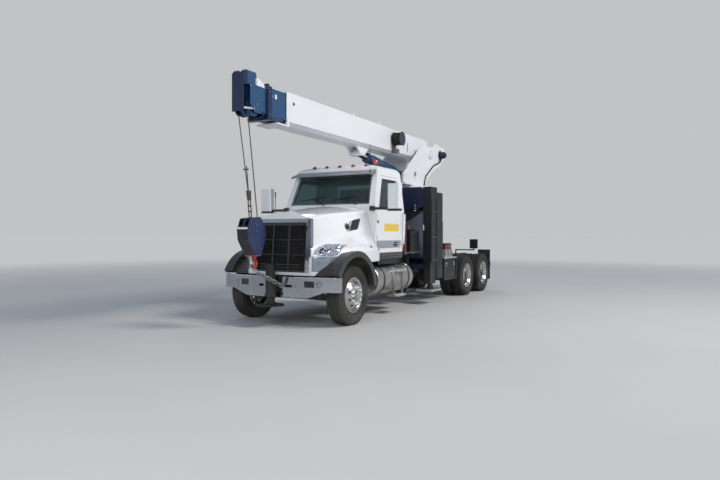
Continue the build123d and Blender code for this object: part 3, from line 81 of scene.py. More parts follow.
# Lamp glass seen from the front, as Y and Z, with the two bowls behind it as Y, Z and radius
LAMP_OUTLINE = ((0.686, 1.215), (0.685, 1.309), (0.710, 1.377), (0.756, 1.412), (0.919, 1.411),
                (0.943, 1.395), (0.966, 1.407), (1.008, 1.400), (1.029, 1.348), (1.031, 1.296),
                (1.002, 1.234), (0.955, 1.211), (0.826, 1.211))
LAMP_BOWLS = ((0.815, 1.315, 0.076), (0.962, 1.332, 0.045))
VENT_OUTLINE = ((-0.486, 1.808), (-0.539, 1.839), (-0.790, 1.885), (-0.808, 1.869), (-0.673, 1.679),
                (-0.368, 1.631), (-0.381, 1.664))
# Lower and upper edge of the windshield, then its half width at each
WINDSHIELD = (2.182, 2.757, 0.9, 0.84)
BADGE = (-0.401, 1.728)
HOOD_MARKER = (-0.589, 1.357)
STRAP_PLACES = (-1.2085, -2.3215)
TOOL_BOX = (-5.24, -4.36)
# How far the plates over the air tanks reach out on each side
HANGER_REACH = {1: 0.64, -1: 0.52}
WINCH = (-5.9, 3.69)
BOOM_PIVOT = (-5.2, 3.64)
LIFT_FOOT = (-4.25, 3.05)
TURRET_SIDE = 0.43
WINCH_PIPE = ((-5.86, 0.52, 3.62), (-5.78, 0.46, 3.48), (-5.42, 0.443, 3.36), (-4.93, 0.443, 3.06),
              (-4.83, 0.443, 2.86), (-4.83, 0.443, 2.80))
# Meshes of the chassis trim, each with its piece's name, finish and bevel
CHASSIS_MESHES = {
    "bright": ("chassis_bright", "chrome", 0.002), "black": ("chassis_black", "black_plastic", 0.003),
    "steel": ("chassis_steel", "plain_steel", 0.0015), "red": ("tail_lenses", "lamp_red", 0.0),
    "maroon": ("rack_bottle", "maroon_paint", 0.004), "tank": ("air_tanks", "chassis_black", 0.0),
    "rubber": ("box_pads", "pad_grey", 0.004), "grey": ("box_panels", "crane_black", 0.002),
}
DOOR_WINDOW = ((-1.190, 2.085), (-1.440, 2.665), (-2.030, 2.665), (-2.070, 2.620), (-2.070, 2.085))


def at(place):
    """X of a place measured forward from the front axle."""
    return FRONT_WHEEL.x + place


# Where each direction of sight starts, which way it goes and the two coordinates it keeps
LOOKS = {
    "front": (Vector((8, 0, 0)), Vector((-1, 0, 0)), 1, 2),
    "back": (Vector((-8, 0, 0)), Vector((1, 0, 0)), 1, 2),
    "left": (Vector((0, 4, 0)), Vector((0, -1, 0)), 0, 2),
    "right": (Vector((0, -4, 0)), Vector((0, 1, 0)), 0, 2),
    "top": (Vector((0, 0, 6)), Vector((0, 0, -1)), 0, 1),
}
FACING = {1: "left", -1: "right"}
AXES = {"x": (1, 0, 0), "y": (0, 1, 0), "z": (0, 0, 1)}
UP = Vector((0, 0, 1))
AHEAD = Vector((1, 0, 0))
PROBES = {}


def seen(node, look, a, b):
    """Point and normal where a CAD node's surface is met, looking straight from one side."""
    if node not in PROBES:
        mesh = NODES[node].data
        PROBES[node] = BVHTree.FromPolygons([v.co for v in mesh.vertices],
                                            [p.vertices for p in mesh.polygons])
    start, way, first, second = LOOKS[look]
    start = start.copy()
    start[first], start[second] = a, b
    point, normal, *_ = PROBES[node].ray_cast(start, way)
    if point is None:
        raise RuntimeError(f"{node} has no surface at {a:.3f}, {b:.3f} from the {look}")
    return point, normal


# Small mesh tools: each adds to an open mesh

def slab(bm, low, high):
    """Box between two corners."""
    corners = [(x, y, z) for x in (low[0], high[0]) for y in (low[1], high[1]) for z in (low[2], high[2])]
    v = [bm.verts.new(c) for c in corners]
    for quad in ((0, 1, 3, 2), (4, 6, 7, 5), (0, 4, 5, 1), (2, 3, 7, 6), (0, 2, 6, 4), (1, 5, 7, 3)):
        bm.faces.new([v[i] for i in quad])


def bar(bm, start, end, radius, sides=12, tip=None):
    """Round bar between two points, with another radius at its tip if given."""
    start, end = Vector(start), Vector(end)
    way = (end - start).normalized()
    across = way.orthogonal().normalized()
    up = way.cross(across)
    rings = []
    for centre, size in ((start, radius), (end, radius if tip is None else tip)):
        ring = [bm.verts.new(centre + size * (cos(2 * pi * i / sides) * across
                                              + sin(2 * pi * i / sides) * up))
                for i in range(sides)]
        rings.append(ring)
    for i in range(sides):
        j = (i + 1) % sides
        bm.faces.new((rings[0][i], rings[0][j], rings[1][j], rings[1][i]))
    bm.faces.new(rings[0][::-1])
    bm.faces.new(rings[1])


def pipe(bm, points, radius, sides=10):
    """Round tube through points, mitred at its corners and closed at its ends."""
    points = [Vector(p) for p in points]
    ways = [(b - a).normalized() for a, b in zip(points, points[1:])]
    across = ways[0].orthogonal().normalized()
    rings = []
    for index, point in enumerate(points):
        before = ways[max(index - 1, 0)]
        after = ways[min(index, len(ways) - 1)]
        way = (before + after).normalized()
        across = (across - across.dot(way) * way).normalized()
        up = way.cross(across)
        widen = 1 / max(before.dot(way), 0.5)
        rings.append([bm.verts.new(point + radius * widen * (cos(2 * pi * i / sides) * across
                                                             + sin(2 * pi * i / sides) * up))
                      for i in range(sides)])
    for one, two in zip(rings, rings[1:]):
        for i in range(sides):
            j = (i + 1) % sides
            bm.faces.new((one[i], one[j], two[j], two[i]))
    bm.faces.new(rings[0][::-1])
    bm.faces.new(rings[-1])


def lathe(bm, profile, centre, axis="y", steps=48):
    """Surface of revolution; the profile holds (along the axis, radius) pairs and closes on itself."""
    centre = Vector(centre)
    along = Vector(AXES[axis] if isinstance(axis, str) else axis).normalized()
    across = along.orthogonal().normalized()
    up = along.cross(across)
    rings = []
    for place, radius in profile:
        if radius < 1e-6:
            rings.append([bm.verts.new(centre + along * place)] * steps)
            continue
        rings.append([bm.verts.new(centre + along * place + radius * (cos(2 * pi * i / steps) * across
                                                                      + sin(2 * pi * i / steps) * up))
                      for i in range(steps)])
    for one, two in zip(rings, rings[1:] + rings[:1]):
        for i in range(steps):
            j = (i + 1) % steps
            corners = list(dict.fromkeys((one[i], one[j], two[j], two[i])))
            if len(corners) > 2:
                bm.faces.new(corners)


def disc(bm, low, high, radius, centre, axis, steps, tip=None):
    """Round boss between two places along its axis, with another radius at its tip if given."""
    tip = radius if tip is None else tip
    lathe(bm, [(low, 0.0), (low, radius), (high, tip), (high, 0.0)], centre, axis, steps)


def hoop(bm, low, high, inner, outer, centre, axis, steps):
    """Flat band round an axis between two places along it."""
    lathe(bm, [(low, inner), (low, outer), (high, outer), (high, inner)], centre, axis, steps)


def plate(bm, outline, axis, low, high):
    """Straight plate along an axis from an outline in the other two."""
    def corner(a, b, t):
        return {"x": (t, a, b), "y": (a, t, b), "z": (a, b, t)}[axis]
    first = [bm.verts.new(corner(a, b, low)) for a, b in outline]
    second = [bm.verts.new(corner(a, b, high)) for a, b in outline]
    bm.faces.new(first[::-1])
    bm.faces.new(second)
    for i in range(len(outline)):
        j = (i + 1) % len(outline)
        bm.faces.new((first[i], first[j], second[j], second[i]))


def patch(bm, node, look, low, high, lift=0.003, depth=0.006, steps=(8, 3)):
    """Thin closed sheet that follows a CAD surface between two corners."""
    way = LOOKS[look][1]
    across, up = steps
    grid = [[seen(node, look, low[0] + (high[0] - low[0]) * i / across,
                  low[1] + (high[1] - low[1]) * j / up)[0]
             for j in range(up + 1)] for i in range(across + 1)]
    layers = [[[bm.verts.new(point - way * rise) for point in row] for row in grid]
              for rise in (lift, lift - depth)]
    for layer in layers:
        for i in range(across):
            for j in range(up):
                bm.faces.new((layer[i][j], layer[i + 1][j], layer[i + 1][j + 1], layer[i][j + 1]))
    ring = [(i, 0) for i in range(across)] + [(across, j) for j in range(up)]
    ring += [(i, up) for i in range(across, 0, -1)] + [(0, j) for j in range(up, 0, -1)]
    for (i, j), (k, m) in zip(ring, ring[1:] + ring[:1]):
        bm.faces.new((layers[0][i][j], layers[0][k][m], layers[1][k][m], layers[1][i][j]))


def traced(bm, node, look, outline, radius, closed=True, lift=0.0):
    """Round bead laid along an outline on a CAD surface."""
    way = LOOKS[look][1]
    points = [seen(node, look, a, b)[0] - way * lift for a, b in outline]
    if closed:
        start = (points[0] + points[-1]) / 2
        points = [start] + points + [start]
    pipe(bm, points, radius, 8)


def about(outline, factor):
    """An outline grown or shrunk about its own middle."""
    a = sum(point[0] for point in outline) / len(outline)
    b = sum(point[1] for point in outline) / len(outline)
    return [(a + (x - a) * factor, b + (z - b) * factor) for x, z in outline]


def oval(a, b, across, up, steps=20):
    """Outline of an oval round a place."""
    return [(a + across * cos(2 * pi * i / steps), b + up * sin(2 * pi * i / steps)) for i in range(steps)]


def strip(start, end, width):
    """Outline of a straight strip between two places."""
    along = (Vector((*end, 0)) - Vector((*start, 0))).normalized()
    across = Vector((-along.y, along.x, 0)) * width / 2
    return [(start[0] + across.x, start[1] + across.y), (end[0] + across.x, end[1] + across.y),
            (end[0] - across.x, end[1] - across.y), (start[0] - across.x, start[1] - across.y)]


def placed(outline):
    """An outline whose first numbers are measured from the front axle."""
    return [(at(x), z) for x, z in outline]


def decal(bm, node, look, outline, lift=0.003, depth=0.006):
    """Thin closed badge that follows a CAD surface inside an outline."""
    way = LOOKS[look][1]
    heart = about(outline, 0.0)[0]
    points = [seen(node, look, a, b)[0] for a, b in outline]
    centre = seen(node, look, *heart)[0]
    cap(bm, points, centre, way, lift, depth)


def cap(bm, points, centre, way, lift, depth):
    """Closed sheet of one thickness through a ring of points and its centre."""
    top, low = ([bm.verts.new(point - way * rise) for point in points] for rise in (lift, lift - depth))
    crown, root = (bm.verts.new(centre - way * rise) for rise in (lift, lift - depth))
    for i in range(len(points)):
        j = (i + 1) % len(points)
        bm.faces.new((crown, top[i], top[j]))
        bm.faces.new((root, low[j], low[i]))
        bm.faces.new((top[i], low[i], low[j], top[j]))


def studs(bm, places, way, radius, height, sides=6):
    """Bolt heads standing on places along a way."""
    way = Vector(way).normalized()
    for place in places:
        bar(bm, Vector(place) - way * 0.002, Vector(place) + way * height, radius, sides)


SMOOTH_ANGLE = 40.0
BEVEL_ANGLE = 35.0


def piece(name, bm, body, finish, bevel=0.0):
    """Turns an open mesh into a finished piece that rides on a body."""
    bmesh.ops.remove_doubles(bm, verts=bm.verts, dist=1e-6)
    bmesh.ops.recalc_face_normals(bm, faces=bm.faces)
    mesh = bpy.data.meshes.new(name)
    bm.to_mesh(mesh)
    bm.free()
    made = bpy.data.objects.new(name, mesh)
    bpy.context.scene.collection.objects.link(made)
    mesh.materials.append(FINISHES[finish])
    soften(made, SMOOTH_ANGLE)
    if bevel:
        edge = made.modifiers.new("edge", "BEVEL")
        edge.width = bevel
        edge.segments = 2
        edge.limit_method = "ANGLE"
        edge.angle_limit = radians(BEVEL_ANGLE)
    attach(made, body)


def soften(made, angle):
    """Smooth shading up to an angle."""
    mesh = made.data
    mesh.shade_smooth()
    sharp = radians(angle)
    open_mesh = bmesh.new()
    open_mesh.from_mesh(mesh)
    for edge in open_mesh.edges:
        edge.smooth = len(edge.link_faces) == 2 and edge.calc_face_angle(0.0) < sharp
    open_mesh.to_mesh(mesh)
    open_mesh.free()


def bolt(bm, node, look, a, b, radius, height, sides=6):
    """Bolt head standing square on a CAD surface."""
    point, normal = seen(node, look, a, b)
    studs(bm, [point], normal, radius, height, sides)


def meshes(count):
    return (bmesh.new() for _ in range(count))


# Node trees

class Tree:
    """Adds nodes to a tree, with their inputs linked or set."""

    def __init__(self, tree):
        self.tree = tree

    def link(self, source, socket):
        self.tree.links.new(source, socket)

    def node(self, kind, inputs=None, **settings):
        made = self.tree.nodes.new(kind)
        for key, value in settings.items():
            setattr(made, key, value)
        for key, value in (inputs or {}).items():
            socket = made.inputs[key]
            if hasattr(value, "is_output"):
                self.link(value, socket)
            else:
                socket.default_value = value
        return made

    def maths(self, kind, first, second=0.0):
        return self.node("ShaderNodeMath", {0: first, 1: second}, operation=kind).outputs[0]

    def mix(self, factor, first, second):
        """Colour that lies so far between two others."""
        return self.node("ShaderNodeMix", {0: factor, 6: first, 7: second}, data_type="RGBA").outputs[2]


# Finishes

class Finish(Tree):
    """One procedural material, whose nodes are added one by one."""

    def __init__(self, name, colour, roughness, metallic=0.0, **sockets):
        self.name = name
        self.material = bpy.data.materials.new(name)
        self.material.use_nodes = True
        self.material.diffuse_color = (*colour, 1.0)
        super().__init__(self.material.node_tree)
        self.shader = self.tree.nodes["Principled BSDF"]
        values = {"Base_Color": (*colour, 1.0), "Roughness": roughness, "Metallic": metallic, **sockets}
        for key, value in values.items():
            self.shader.inputs[key.replace("_", " ")].default_value = value
        self.place = self.node("ShaderNodeTexCoord").outputs["Object"]

    def noise(self, scale, detail, stretch=None, contrast=None):
        """Noise on the piece's own coordinates, from 0 to 1."""
        source = self.place
        if stretch:
            source = self.node("ShaderNodeMapping", {"Vector": source, "Scale": stretch}).outputs["Vector"]
        value = self.node("ShaderNodeTexNoise", {"Vector": source, "Scale": scale,
                                                 "Detail": detail}).outputs["Fac"]
        return self.span(value, *contrast) if contrast else value

    def span(self, value, low, high, to_low=0.0, to_high=1.0):
        """Maps one range to another and clamps it."""
        return self.node("ShaderNodeMapRange", {"Value": value, "From Min": low, "From Max": high,
                                                "To Min": to_low, "To Max": to_high}).outputs["Result"]

    def along(self, axis):
        return self.node("ShaderNodeSeparateXYZ", {"Vector": self.place}).outputs[axis]

    def tint(self, factor, colour):
        """Mixes the colour so far towards another."""
        base = self.shader.inputs["Base Color"]
        before = base.links[0].from_socket if base.is_linked else base.default_value
        self.link(self.mix(factor, before, (*colour, 1.0)), base)

    def roughen(self, factor, low, high):
        self.link(self.span(factor, 0.0, 1.0, low, high), self.shader.inputs["Roughness"])

    def bump(self, value, distance, strength):
        bump = self.node("ShaderNodeBump", {"Strength": strength, "Distance": distance, "Height": value})
        self.link(bump.outputs["Normal"], self.shader.inputs["Normal"])

    def dust(self, top, amount, colour=(0.32, 0.29, 0.25)):
        """Road dust, thickest near the ground."""
        low = self.span(self.along("Z"), 0.1, top, 1.0, 0.0)
        patch = self.noise(3.0, 6.0, contrast=(0.32, 0.72))
        self.tint(self.maths("MULTIPLY", self.maths("MULTIPLY", low, patch), amount), colour)


def paint(name, colour, roughness=0.25, coat=0.5, dust=0.35, dust_top=1.3):
    made = Finish(name, colour, roughness, Coat_Weight=coat, Coat_Roughness=0.06)
    made.tint(made.noise(0.9, 4.0, contrast=(0.35, 0.75)), [c * 0.93 for c in colour])
    made.dust(dust_top, dust)
    made.roughen(made.noise(5.0, 5.0), roughness * 0.8, roughness * 1.5)
    made.bump(made.noise(140.0, 2.0), 0.0004, 0.25)
    return made


def bare_metal(name, colour, roughness=0.2, grain=(1.0, 60.0, 60.0), dust=0.2):
    made = Finish(name, colour, roughness, 1.0)
    made.tint(made.noise(2.0, 5.0, contrast=(0.4, 0.8)), [c * 0.8 for c in colour])
    scratch = made.noise(6.0, 3.0, stretch=grain)
    made.roughen(scratch, roughness * 0.6, roughness * 1.8)
    made.bump(scratch, 0.0003, 0.2)
    made.dust(0.9, dust)
    return made


def dark_rubber(name, colour, roughness, dust):
    made = Finish(name, colour, roughness, Specular_IOR_Level=0.3)
    made.dust(1.1, dust, (0.24, 0.22, 0.2))
    made.tint(made.noise(1.6, 6.0, contrast=(0.45, 0.8)), [c * 2.2 + 0.01 for c in colour])
    made.bump(made.noise(220.0, 2.0), 0.0006, 0.35)
    return made


def moulded(name, colour, roughness=0.45, coat=0.0, grain=260.0):
    made = Finish(name, colour, roughness, Coat_Weight=coat)
    made.tint(made.noise(1.5, 4.0, contrast=(0.4, 0.8)), [min(1, c * 1.25 + 0.006) for c in colour])
    made.dust(1.2, 0.25)
    made.bump(made.noise(grain, 2.0), 0.0005, 0.25)
    return made


def glass(name, tint, roughness, transmission):
    made = Finish(name, tint, roughness, Transmission_Weight=transmission, IOR=1.45)
    made.roughen(made.noise(8.0, 4.0), roughness, roughness + 0.04)
    return made


def cloth(name, colour):
    made = Finish(name, colour, 0.9, Sheen_Weight=0.3)
    weave = made.noise(300.0, 2.0, stretch=(1.0, 0.2, 1.0))
    made.tint(made.noise(4.0, 4.0), [c * 0.7 for c in colour])
    made.bump(weave, 0.0008, 0.5)
    return made


FINISHES = {}
# Roughness, coat and dust of the cab's paint
CAB_PAINT = (0.2, 0.8, 0.3)
LAMP_RED = (0.5, 0.02, 0.015)
TRIM_BLACK = (0.012, 0.012, 0.013)


def keep(*finishes):
    """Files finished materials under the names they were made with."""
    for made in finishes:
        FINISHES[made.name] = made.material


def make_finishes(colours):
    """Finishes of one colour."""
    even = (1.0, 1.0, 1.0)
    keep(
        paint("cab_white", colours.cab_white, *CAB_PAINT),
        paint("crane_white", colours.crane_white, 0.32, 0.3, 0.1),
        paint("crane_navy", colours.crane_navy, 0.4, 0.2, 0.15),
        paint("section_blue", colours.section_blue, 0.35, 0.3, 0.0),
        paint("chassis_black", colours.chassis_black, 0.5, 0.0, 0.55, 1.5),
        paint("crane_black", colours.crane_black, 0.45, 0.12, 0.18, 1.0),
        bare_metal("chrome", (0.86, 0.87, 0.89), 0.07, (2.0, 2.0, 2.0), 0.3),
        bare_metal("bumper_chrome", (0.5, 0.52, 0.55), 0.06, (2.0, 2.0, 2.0), 0.15),
        bare_metal("polished_aluminium", (0.66, 0.655, 0.65), 0.2, (1.0, 8.0, 8.0), 0.45),
        bare_metal("tank_aluminium", (0.56, 0.54, 0.52), 0.26, (40.0, 1.0, 1.0), 0.35),
        bare_metal("plain_steel", (0.42, 0.42, 0.42), 0.35, (1.0, 30.0, 30.0), 0.2),
        bare_metal("rod_chrome", (0.8, 0.81, 0.83), 0.08, even, 0.0),
        bare_metal("dark_iron", (0.09, 0.085, 0.08), 0.55, (3.0, 3.0, 3.0), 0.4),
        bare_metal("wire_rope", (0.1, 0.095, 0.09), 0.5, (8.0, 8.0, 60.0), 0.0),
        bare_metal("lamp_bowl", (0.55, 0.56, 0.6), 0.15, even, 0.0),
        bare_metal("mirror_face", (0.9, 0.9, 0.92), 0.02, even, 0.0),
        dark_rubber("tyre", (0.026, 0.025, 0.024), 0.85, 0.35),
        dark_rubber("rubber", (0.018, 0.018, 0.018), 0.7, 0.3),
        moulded("black_plastic", (0.011, 0.011, 0.012), 0.42),
        moulded("flare_plastic", (0.03, 0.029, 0.027), 0.35, 0.2),
        moulded("grille_dark", (0.025, 0.024, 0.024), 0.4),
        moulded("lamp_red", LAMP_RED, 0.15, 0.8, 90.0),
        moulded("maroon_paint", (0.12, 0.015, 0.012), 0.4, 0.3),
        moulded("pad_grey", (0.3, 0.29, 0.27), 0.7),
        moulded("lamp_dark", (0.03, 0.035, 0.045), 0.08, 1.0),
        cloth("cab_trim", (0.06, 0.065, 0.068)),
        glass("cab_glass", (0.25, 0.35, 0.335), 0.01, 0.94),
        glass("lamp_glass", (0.75, 0.8, 0.84), 0.02, 0.85),
    )


def two_tone(name, base, axis, edge, above):
    """A paint that changes to another colour past a place on one axis."""
    made = paint(name, base, 0.3, 0.4, 0.0)
    made.tint(made.span(made.along(axis), edge - 0.004, edge + 0.004), above)
    keep(made)
    return made


def within(made, axis, low, high, soft=0.002):
    """1 between two places on an axis and 0 outside them."""
    value = made.along(axis)
    return made.maths("MULTIPLY", made.span(value, low - soft, low + soft),
                      below(made, value, high - soft, high + soft))


def below(made, value, low, high):
    """1 under a place and 0 over it, fading between two values."""
    return made.span(value, low, high, 1.0, 0.0)


def make_marked_paints(colours):
    """Paints with coloured bands at real places on their parts, and a painted shade band along the recess of
    each door.
    """
    door = paint("door_paint", colours.cab_white, *CAB_PAINT)
    # Bluish grey band: painted shade where the door panel curves in below its crease
    door.tint(within(door, "Z", *DOOR_SHADE_BAND_Z), (0.3, 0.32, 0.38))
    door.tint(below(door, door.along("Z"), SILL_Z - 0.002, SILL_Z + 0.002), TRIM_BLACK)
    label = within(door, "X", at(DOOR_LABEL_X[0]), at(DOOR_LABEL_X[1]))
    door.tint(door.maths("MULTIPLY", label, within(door, "Z", *DOOR_LABEL_Z)), (0.78, 0.55, 0.03))
    cab = paint("cab_paint", colours.cab_white, *CAB_PAINT)
    cab.tint(below(cab, cab.along("Z"), SILL_Z - 0.002, SILL_Z + 0.002), TRIM_BLACK)
    mirror = paint("mirror_paint", colours.cab_white, 0.2, 0.8, 0.0)
    mirror.tint(below(mirror, mirror.maths("ABSOLUTE", mirror.along("Y"), 0.0), 1.357, 1.361), TRIM_BLACK)
    mirror.tint(below(mirror, mirror.along("Z"), 2.062, 2.066), TRIM_BLACK)
    float_paint = paint("float_paint", colours.crane_black, 0.4, 0.2, 0.3)
    float_paint.tint(below(float_paint, float_paint.along("Z"), 0.338, 0.344), (0.36, 0.36, 0.35))
    lamp = Finish("lamp_paint", (0.3, 0.34, 0.4), 0.06, 0.35, Coat_Weight=1.0)
    lamp.tint(lamp.span(lamp.along("Z"), 1.205, 1.209), (0.5, 0.53, 0.57))
    lamp.tint(lamp.noise(9.0, 3.0, contrast=(0.4, 0.7)), (0.2, 0.24, 0.3))
    lamp.roughen(lamp.noise(6.0, 3.0), 0.05, 0.14)
    lamp.bump(lamp.noise(60.0, 1.0), 0.0004, 0.2)
    keep(door, cab, mirror, float_paint, lamp)


# The CAD nodes that each finish goes on
FINISHED_NODES = {
    "chassis_black": "frame front_axle drive_axles knuckle_l knuckle_r",
    "dark_iron": "engine_block winch_drum fifth_wheel",
    "bumper_chrome": "bumper grille_surround",
    "crane_black": "front_jack tool_boxes side_tanks jack_leg outrigger_leg_l outrigger_leg_r "
                   "outrigger_inner_l outrigger_inner_r",
    "float_paint": "outrigger_float_l outrigger_float_r",
    "plain_steel": "tie_chain visor",
    "cab_paint": "cab_body",
    "cab_white": "cab_roof hood",
    "door_paint": "door_l door_r",
    "mirror_paint": "mirrors",
    "cab_glass": "cab_glass door_glass_l door_glass_r",
    "cab_trim": "cab_interior",
    "tank_aluminium": "fuel_tanks",
    "rubber": "mud_guards",
    "tail_paint": "tail_lamps",
    "lamp_paint": "headlamps",
    "grille_dark": "grille",
    "flare_plastic": "flares",
    "crane_navy": "pedestal",
    "crane_white": "turret boom_base",
    "reel_paint": "cable_reel",
    "mid_paint": "boom_mid",
    "tip_paint": "boom_tip",
    "line_paint": "hoist_lines",
    "block_paint": "hook_block",
    "section_blue": "lift_barrel",
    "rod_chrome": "lift_rod",
    "polished_aluminium": "front_wheel_l front_wheel_r drive_wheels_1l drive_wheels_1r drive_wheels_2l "
                          "drive_wheels_2r",
    "tyre": "front_tyre_l front_tyre_r drive_tyres_1l drive_tyres_1r drive_tyres_2l drive_tyres_2r",
}


# Geometry Nodes

class Grower(Tree):
    """A Geometry Nodes tree with named inputs, run once on an object to make a plain mesh."""

    def __init__(self, name):
        super().__init__(bpy.data.node_groups.new(name, "GeometryNodeTree"))
        for way in ("INPUT", "OUTPUT"):
            self.tree.interface.new_socket("Geometry", in_out=way, socket_type="NodeSocketGeometry")
        self.start = self.node("NodeGroupInput")
        self.end = self.node("NodeGroupOutput")
        self.keys = {}

    def value(self, name, kind="Float", default=None):
        socket = self.tree.interface.new_socket(name, in_out="INPUT", socket_type=f"NodeSocket{kind}")
        if default is not None:
            socket.default_value = default
        self.keys[name] = socket.identifier
        return next(s for s in self.start.outputs if s.identifier == socket.identifier)

    def vector(self, x=0.0, y=0.0, z=0.0):
        return self.node("ShaderNodeCombineXYZ", {"X": x, "Y": y, "Z": z}).outputs[0]

    def close(self, geometry):
        """Realizes the instances, joins them to the start mesh and sets their material."""
        material = self.value("Material", "Material")
        real = self.node("GeometryNodeRealizeInstances", {"Geometry": geometry})
        painted = self.node("GeometryNodeSetMaterial", {"Geometry": real.outputs[0], "Material": material})
        join = self.node("GeometryNodeJoinGeometry")
        self.link(painted.outputs[0], join.inputs[0])
        self.link(self.start.outputs["Geometry"], join.inputs[0])
        self.link(join.outputs[0], self.end.inputs[0])

    def run(self, name, body, finish, values, base=None, slot=None, smooth=40.0):
        """Makes one piece with these input values, on top of a start mesh if one is given."""
        mesh = bpy.data.meshes.new(name)
        if base is not None:
            bmesh.ops.recalc_face_normals(base, faces=base.faces)
            base.to_mesh(mesh)
            base.free()
            mesh.materials.append(finish)
        made = bpy.data.objects.new(name, mesh)
        bpy.context.scene.collection.objects.link(made)
        grow = made.modifiers.new("grow", "NODES")
        grow.node_group = self.tree
        for key, value in {**values, "Material": finish}.items():
            grow[self.keys[key]] = value
        bpy.context.view_layer.update()
        shape = bpy.data.meshes.new_from_object(made.evaluated_get(bpy.context.evaluated_depsgraph_get()))
        made.modifiers.remove(grow)
        made.data = shape
        shape.name = name
        while len(shape.materials) > 1:
            shape.materials.pop()
        if not shape.materials:
            shape.materials.append(finish)
        shape.polygons.foreach_set("material_index", [0] * len(shape.polygons))
        soften(made, smooth)
        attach(made, body)
        return made


def ring_grower(kind):
    """Ring of nuts or studs about an axis along Y, unless another turn is given."""
    grow = Grower(f"ring_of_{kind}")
    count = grow.value("Count", "Int", 10)
    radius = grow.value("Ring Radius", "Float", 0.14)
    size = grow.value("Part Radius", "Float", 0.016)
    length = grow.value("Part Length", "Float", 0.03)
    centre = grow.value("Centre", "Vector")
    tilt = grow.value("Axis Turn", "Vector", (-pi / 2, 0.0, 0.0))
    circle = grow.node("GeometryNodeMeshCircle", {"Vertices": count, "Radius": radius})
    sides = {"nuts": 6, "studs": 12}[kind]
    part = grow.node("GeometryNodeMeshCylinder", {"Vertices": sides, "Radius": size, "Depth": length})
    put = grow.node("GeometryNodeInstanceOnPoints", {"Points": circle.outputs[0],
                                                     "Instance": part.outputs[0]})
    place = grow.node("GeometryNodeTransform", {"Geometry": put.outputs[0], "Translation": centre,
                                                "Rotation": tilt})
    grow.close(place.outputs[0])
    return grow


def row_grower():
    """Straight row of small boxes, such as the ribs of a step."""
    grow = Grower("row_of_blocks")
    count = grow.value("Count", "Int", 10)
    start = grow.value("Start", "Vector")
    step = grow.value("Step", "Vector")
    size = grow.value("Size", "Vector")
    turn = grow.value("Turn", "Vector")
    line = grow.node("GeometryNodeMeshLine", {"Count": count, "Start Location": start, "Offset": step})
    block = grow.node("GeometryNodeMeshCube", {"Size": size})
    put = grow.node("GeometryNodeInstanceOnPoints", {"Points": line.outputs[0], "Instance": block.outputs[0],
                                                     "Rotation": turn})
    grow.close(put.outputs[0])
    return grow


def tread_grower():
    """Tread blocks round a tyre, in rows that are half a pitch apart."""
    grow = Grower("tread_blocks")
    count = grow.value("Blocks", "Int", 56)
    rows = grow.value("Rows", "Int", 4)
    radius = grow.value("Radius", "Float", 0.5)
    size = grow.value("Block", "Vector")
    first = grow.value("First Row", "Vector")
    step = grow.value("Row Step", "Vector")
    centre = grow.value("Centre", "Vector")
    index = grow.node("GeometryNodeInputIndex").outputs[0]
    pitch = grow.maths("DIVIDE", 2 * pi, count)
    circle = grow.node("GeometryNodeMeshCircle", {"Vertices": count, "Radius": radius})
    block = grow.node("GeometryNodeMeshCube", {"Size": size})
    facing = grow.vector(z=grow.maths("MULTIPLY", index, pitch))
    ring = grow.node("GeometryNodeInstanceOnPoints", {"Points": circle.outputs[0],
                                                      "Instance": block.outputs[0], "Rotation": facing})
    upright = grow.node("GeometryNodeTransform", {"Geometry": ring.outputs[0],
                                                  "Rotation": (pi / 2, 0.0, 0.0)})
    line = grow.node("GeometryNodeMeshLine", {"Count": rows, "Start Location": first, "Offset": step})
    half = grow.maths("MULTIPLY", grow.maths("MODULO", index, 2.0), grow.maths("MULTIPLY", pitch, 0.5))
    put = grow.node("GeometryNodeInstanceOnPoints", {"Points": line.outputs[0],
                                                     "Instance": upright.outputs[0],
                                                     "Rotation": grow.vector(y=half)})
    place = grow.node("GeometryNodeTransform", {"Geometry": put.outputs[0], "Translation": centre})
    grow.close(place.outputs[0])
    return grow


# Settings

def colour_field(name, description, default):
    return FloatVectorProperty(name=name, description=description, subtype="COLOR", default=default)


def number_field(name, description, default, unit="NONE"):
    return FloatProperty(name=name, description=description, default=default, unit=unit)


def count_field(name, description, default):
    return IntProperty(name=name, description=description, default=default)


class PaintSettings(bpy.types.PropertyGroup):
    cab_white: colour_field("Cab white", "Paint of the cab and hood", (0.8, 0.81, 0.83))
    crane_white: colour_field("Crane white", "Paint of the boom's base and turret", (0.74, 0.75, 0.78))
    crane_navy: colour_field("Crane navy", "Paint of the pedestal and hook block", (0.006, 0.011, 0.05))
    section_blue: colour_field("Section blue", "Paint of the boom's tip section", (0.013, 0.061, 0.156))
    chassis_black: colour_field("Chassis black", "Paint of the frame and axles", (0.018, 0.018, 0.019))
    crane_black: colour_field("Crane black", "Paint of the outriggers and front jack", (0.0035, 0.004, 0.006))
    hook_red: colour_field("Hook red", "Paint of the hook", (0.33, 0.04, 0.018))


class TyreSettings(bpy.types.PropertyGroup):
    groove_depth: number_field("Groove depth", "Depth of the tread", 0.013, "LENGTH")
    front_blocks: count_field("Front notches", "Notches round a steer tyre", 90)
    drive_blocks: count_field("Drive blocks", "Blocks round a drive tyre", 48)
    wheel_nuts: count_field("Wheel nuts", "Nuts on each wheel", 10)
    nut_ring: number_field("Nut ring", "Radius of the ring of nuts", 0.143, "LENGTH")


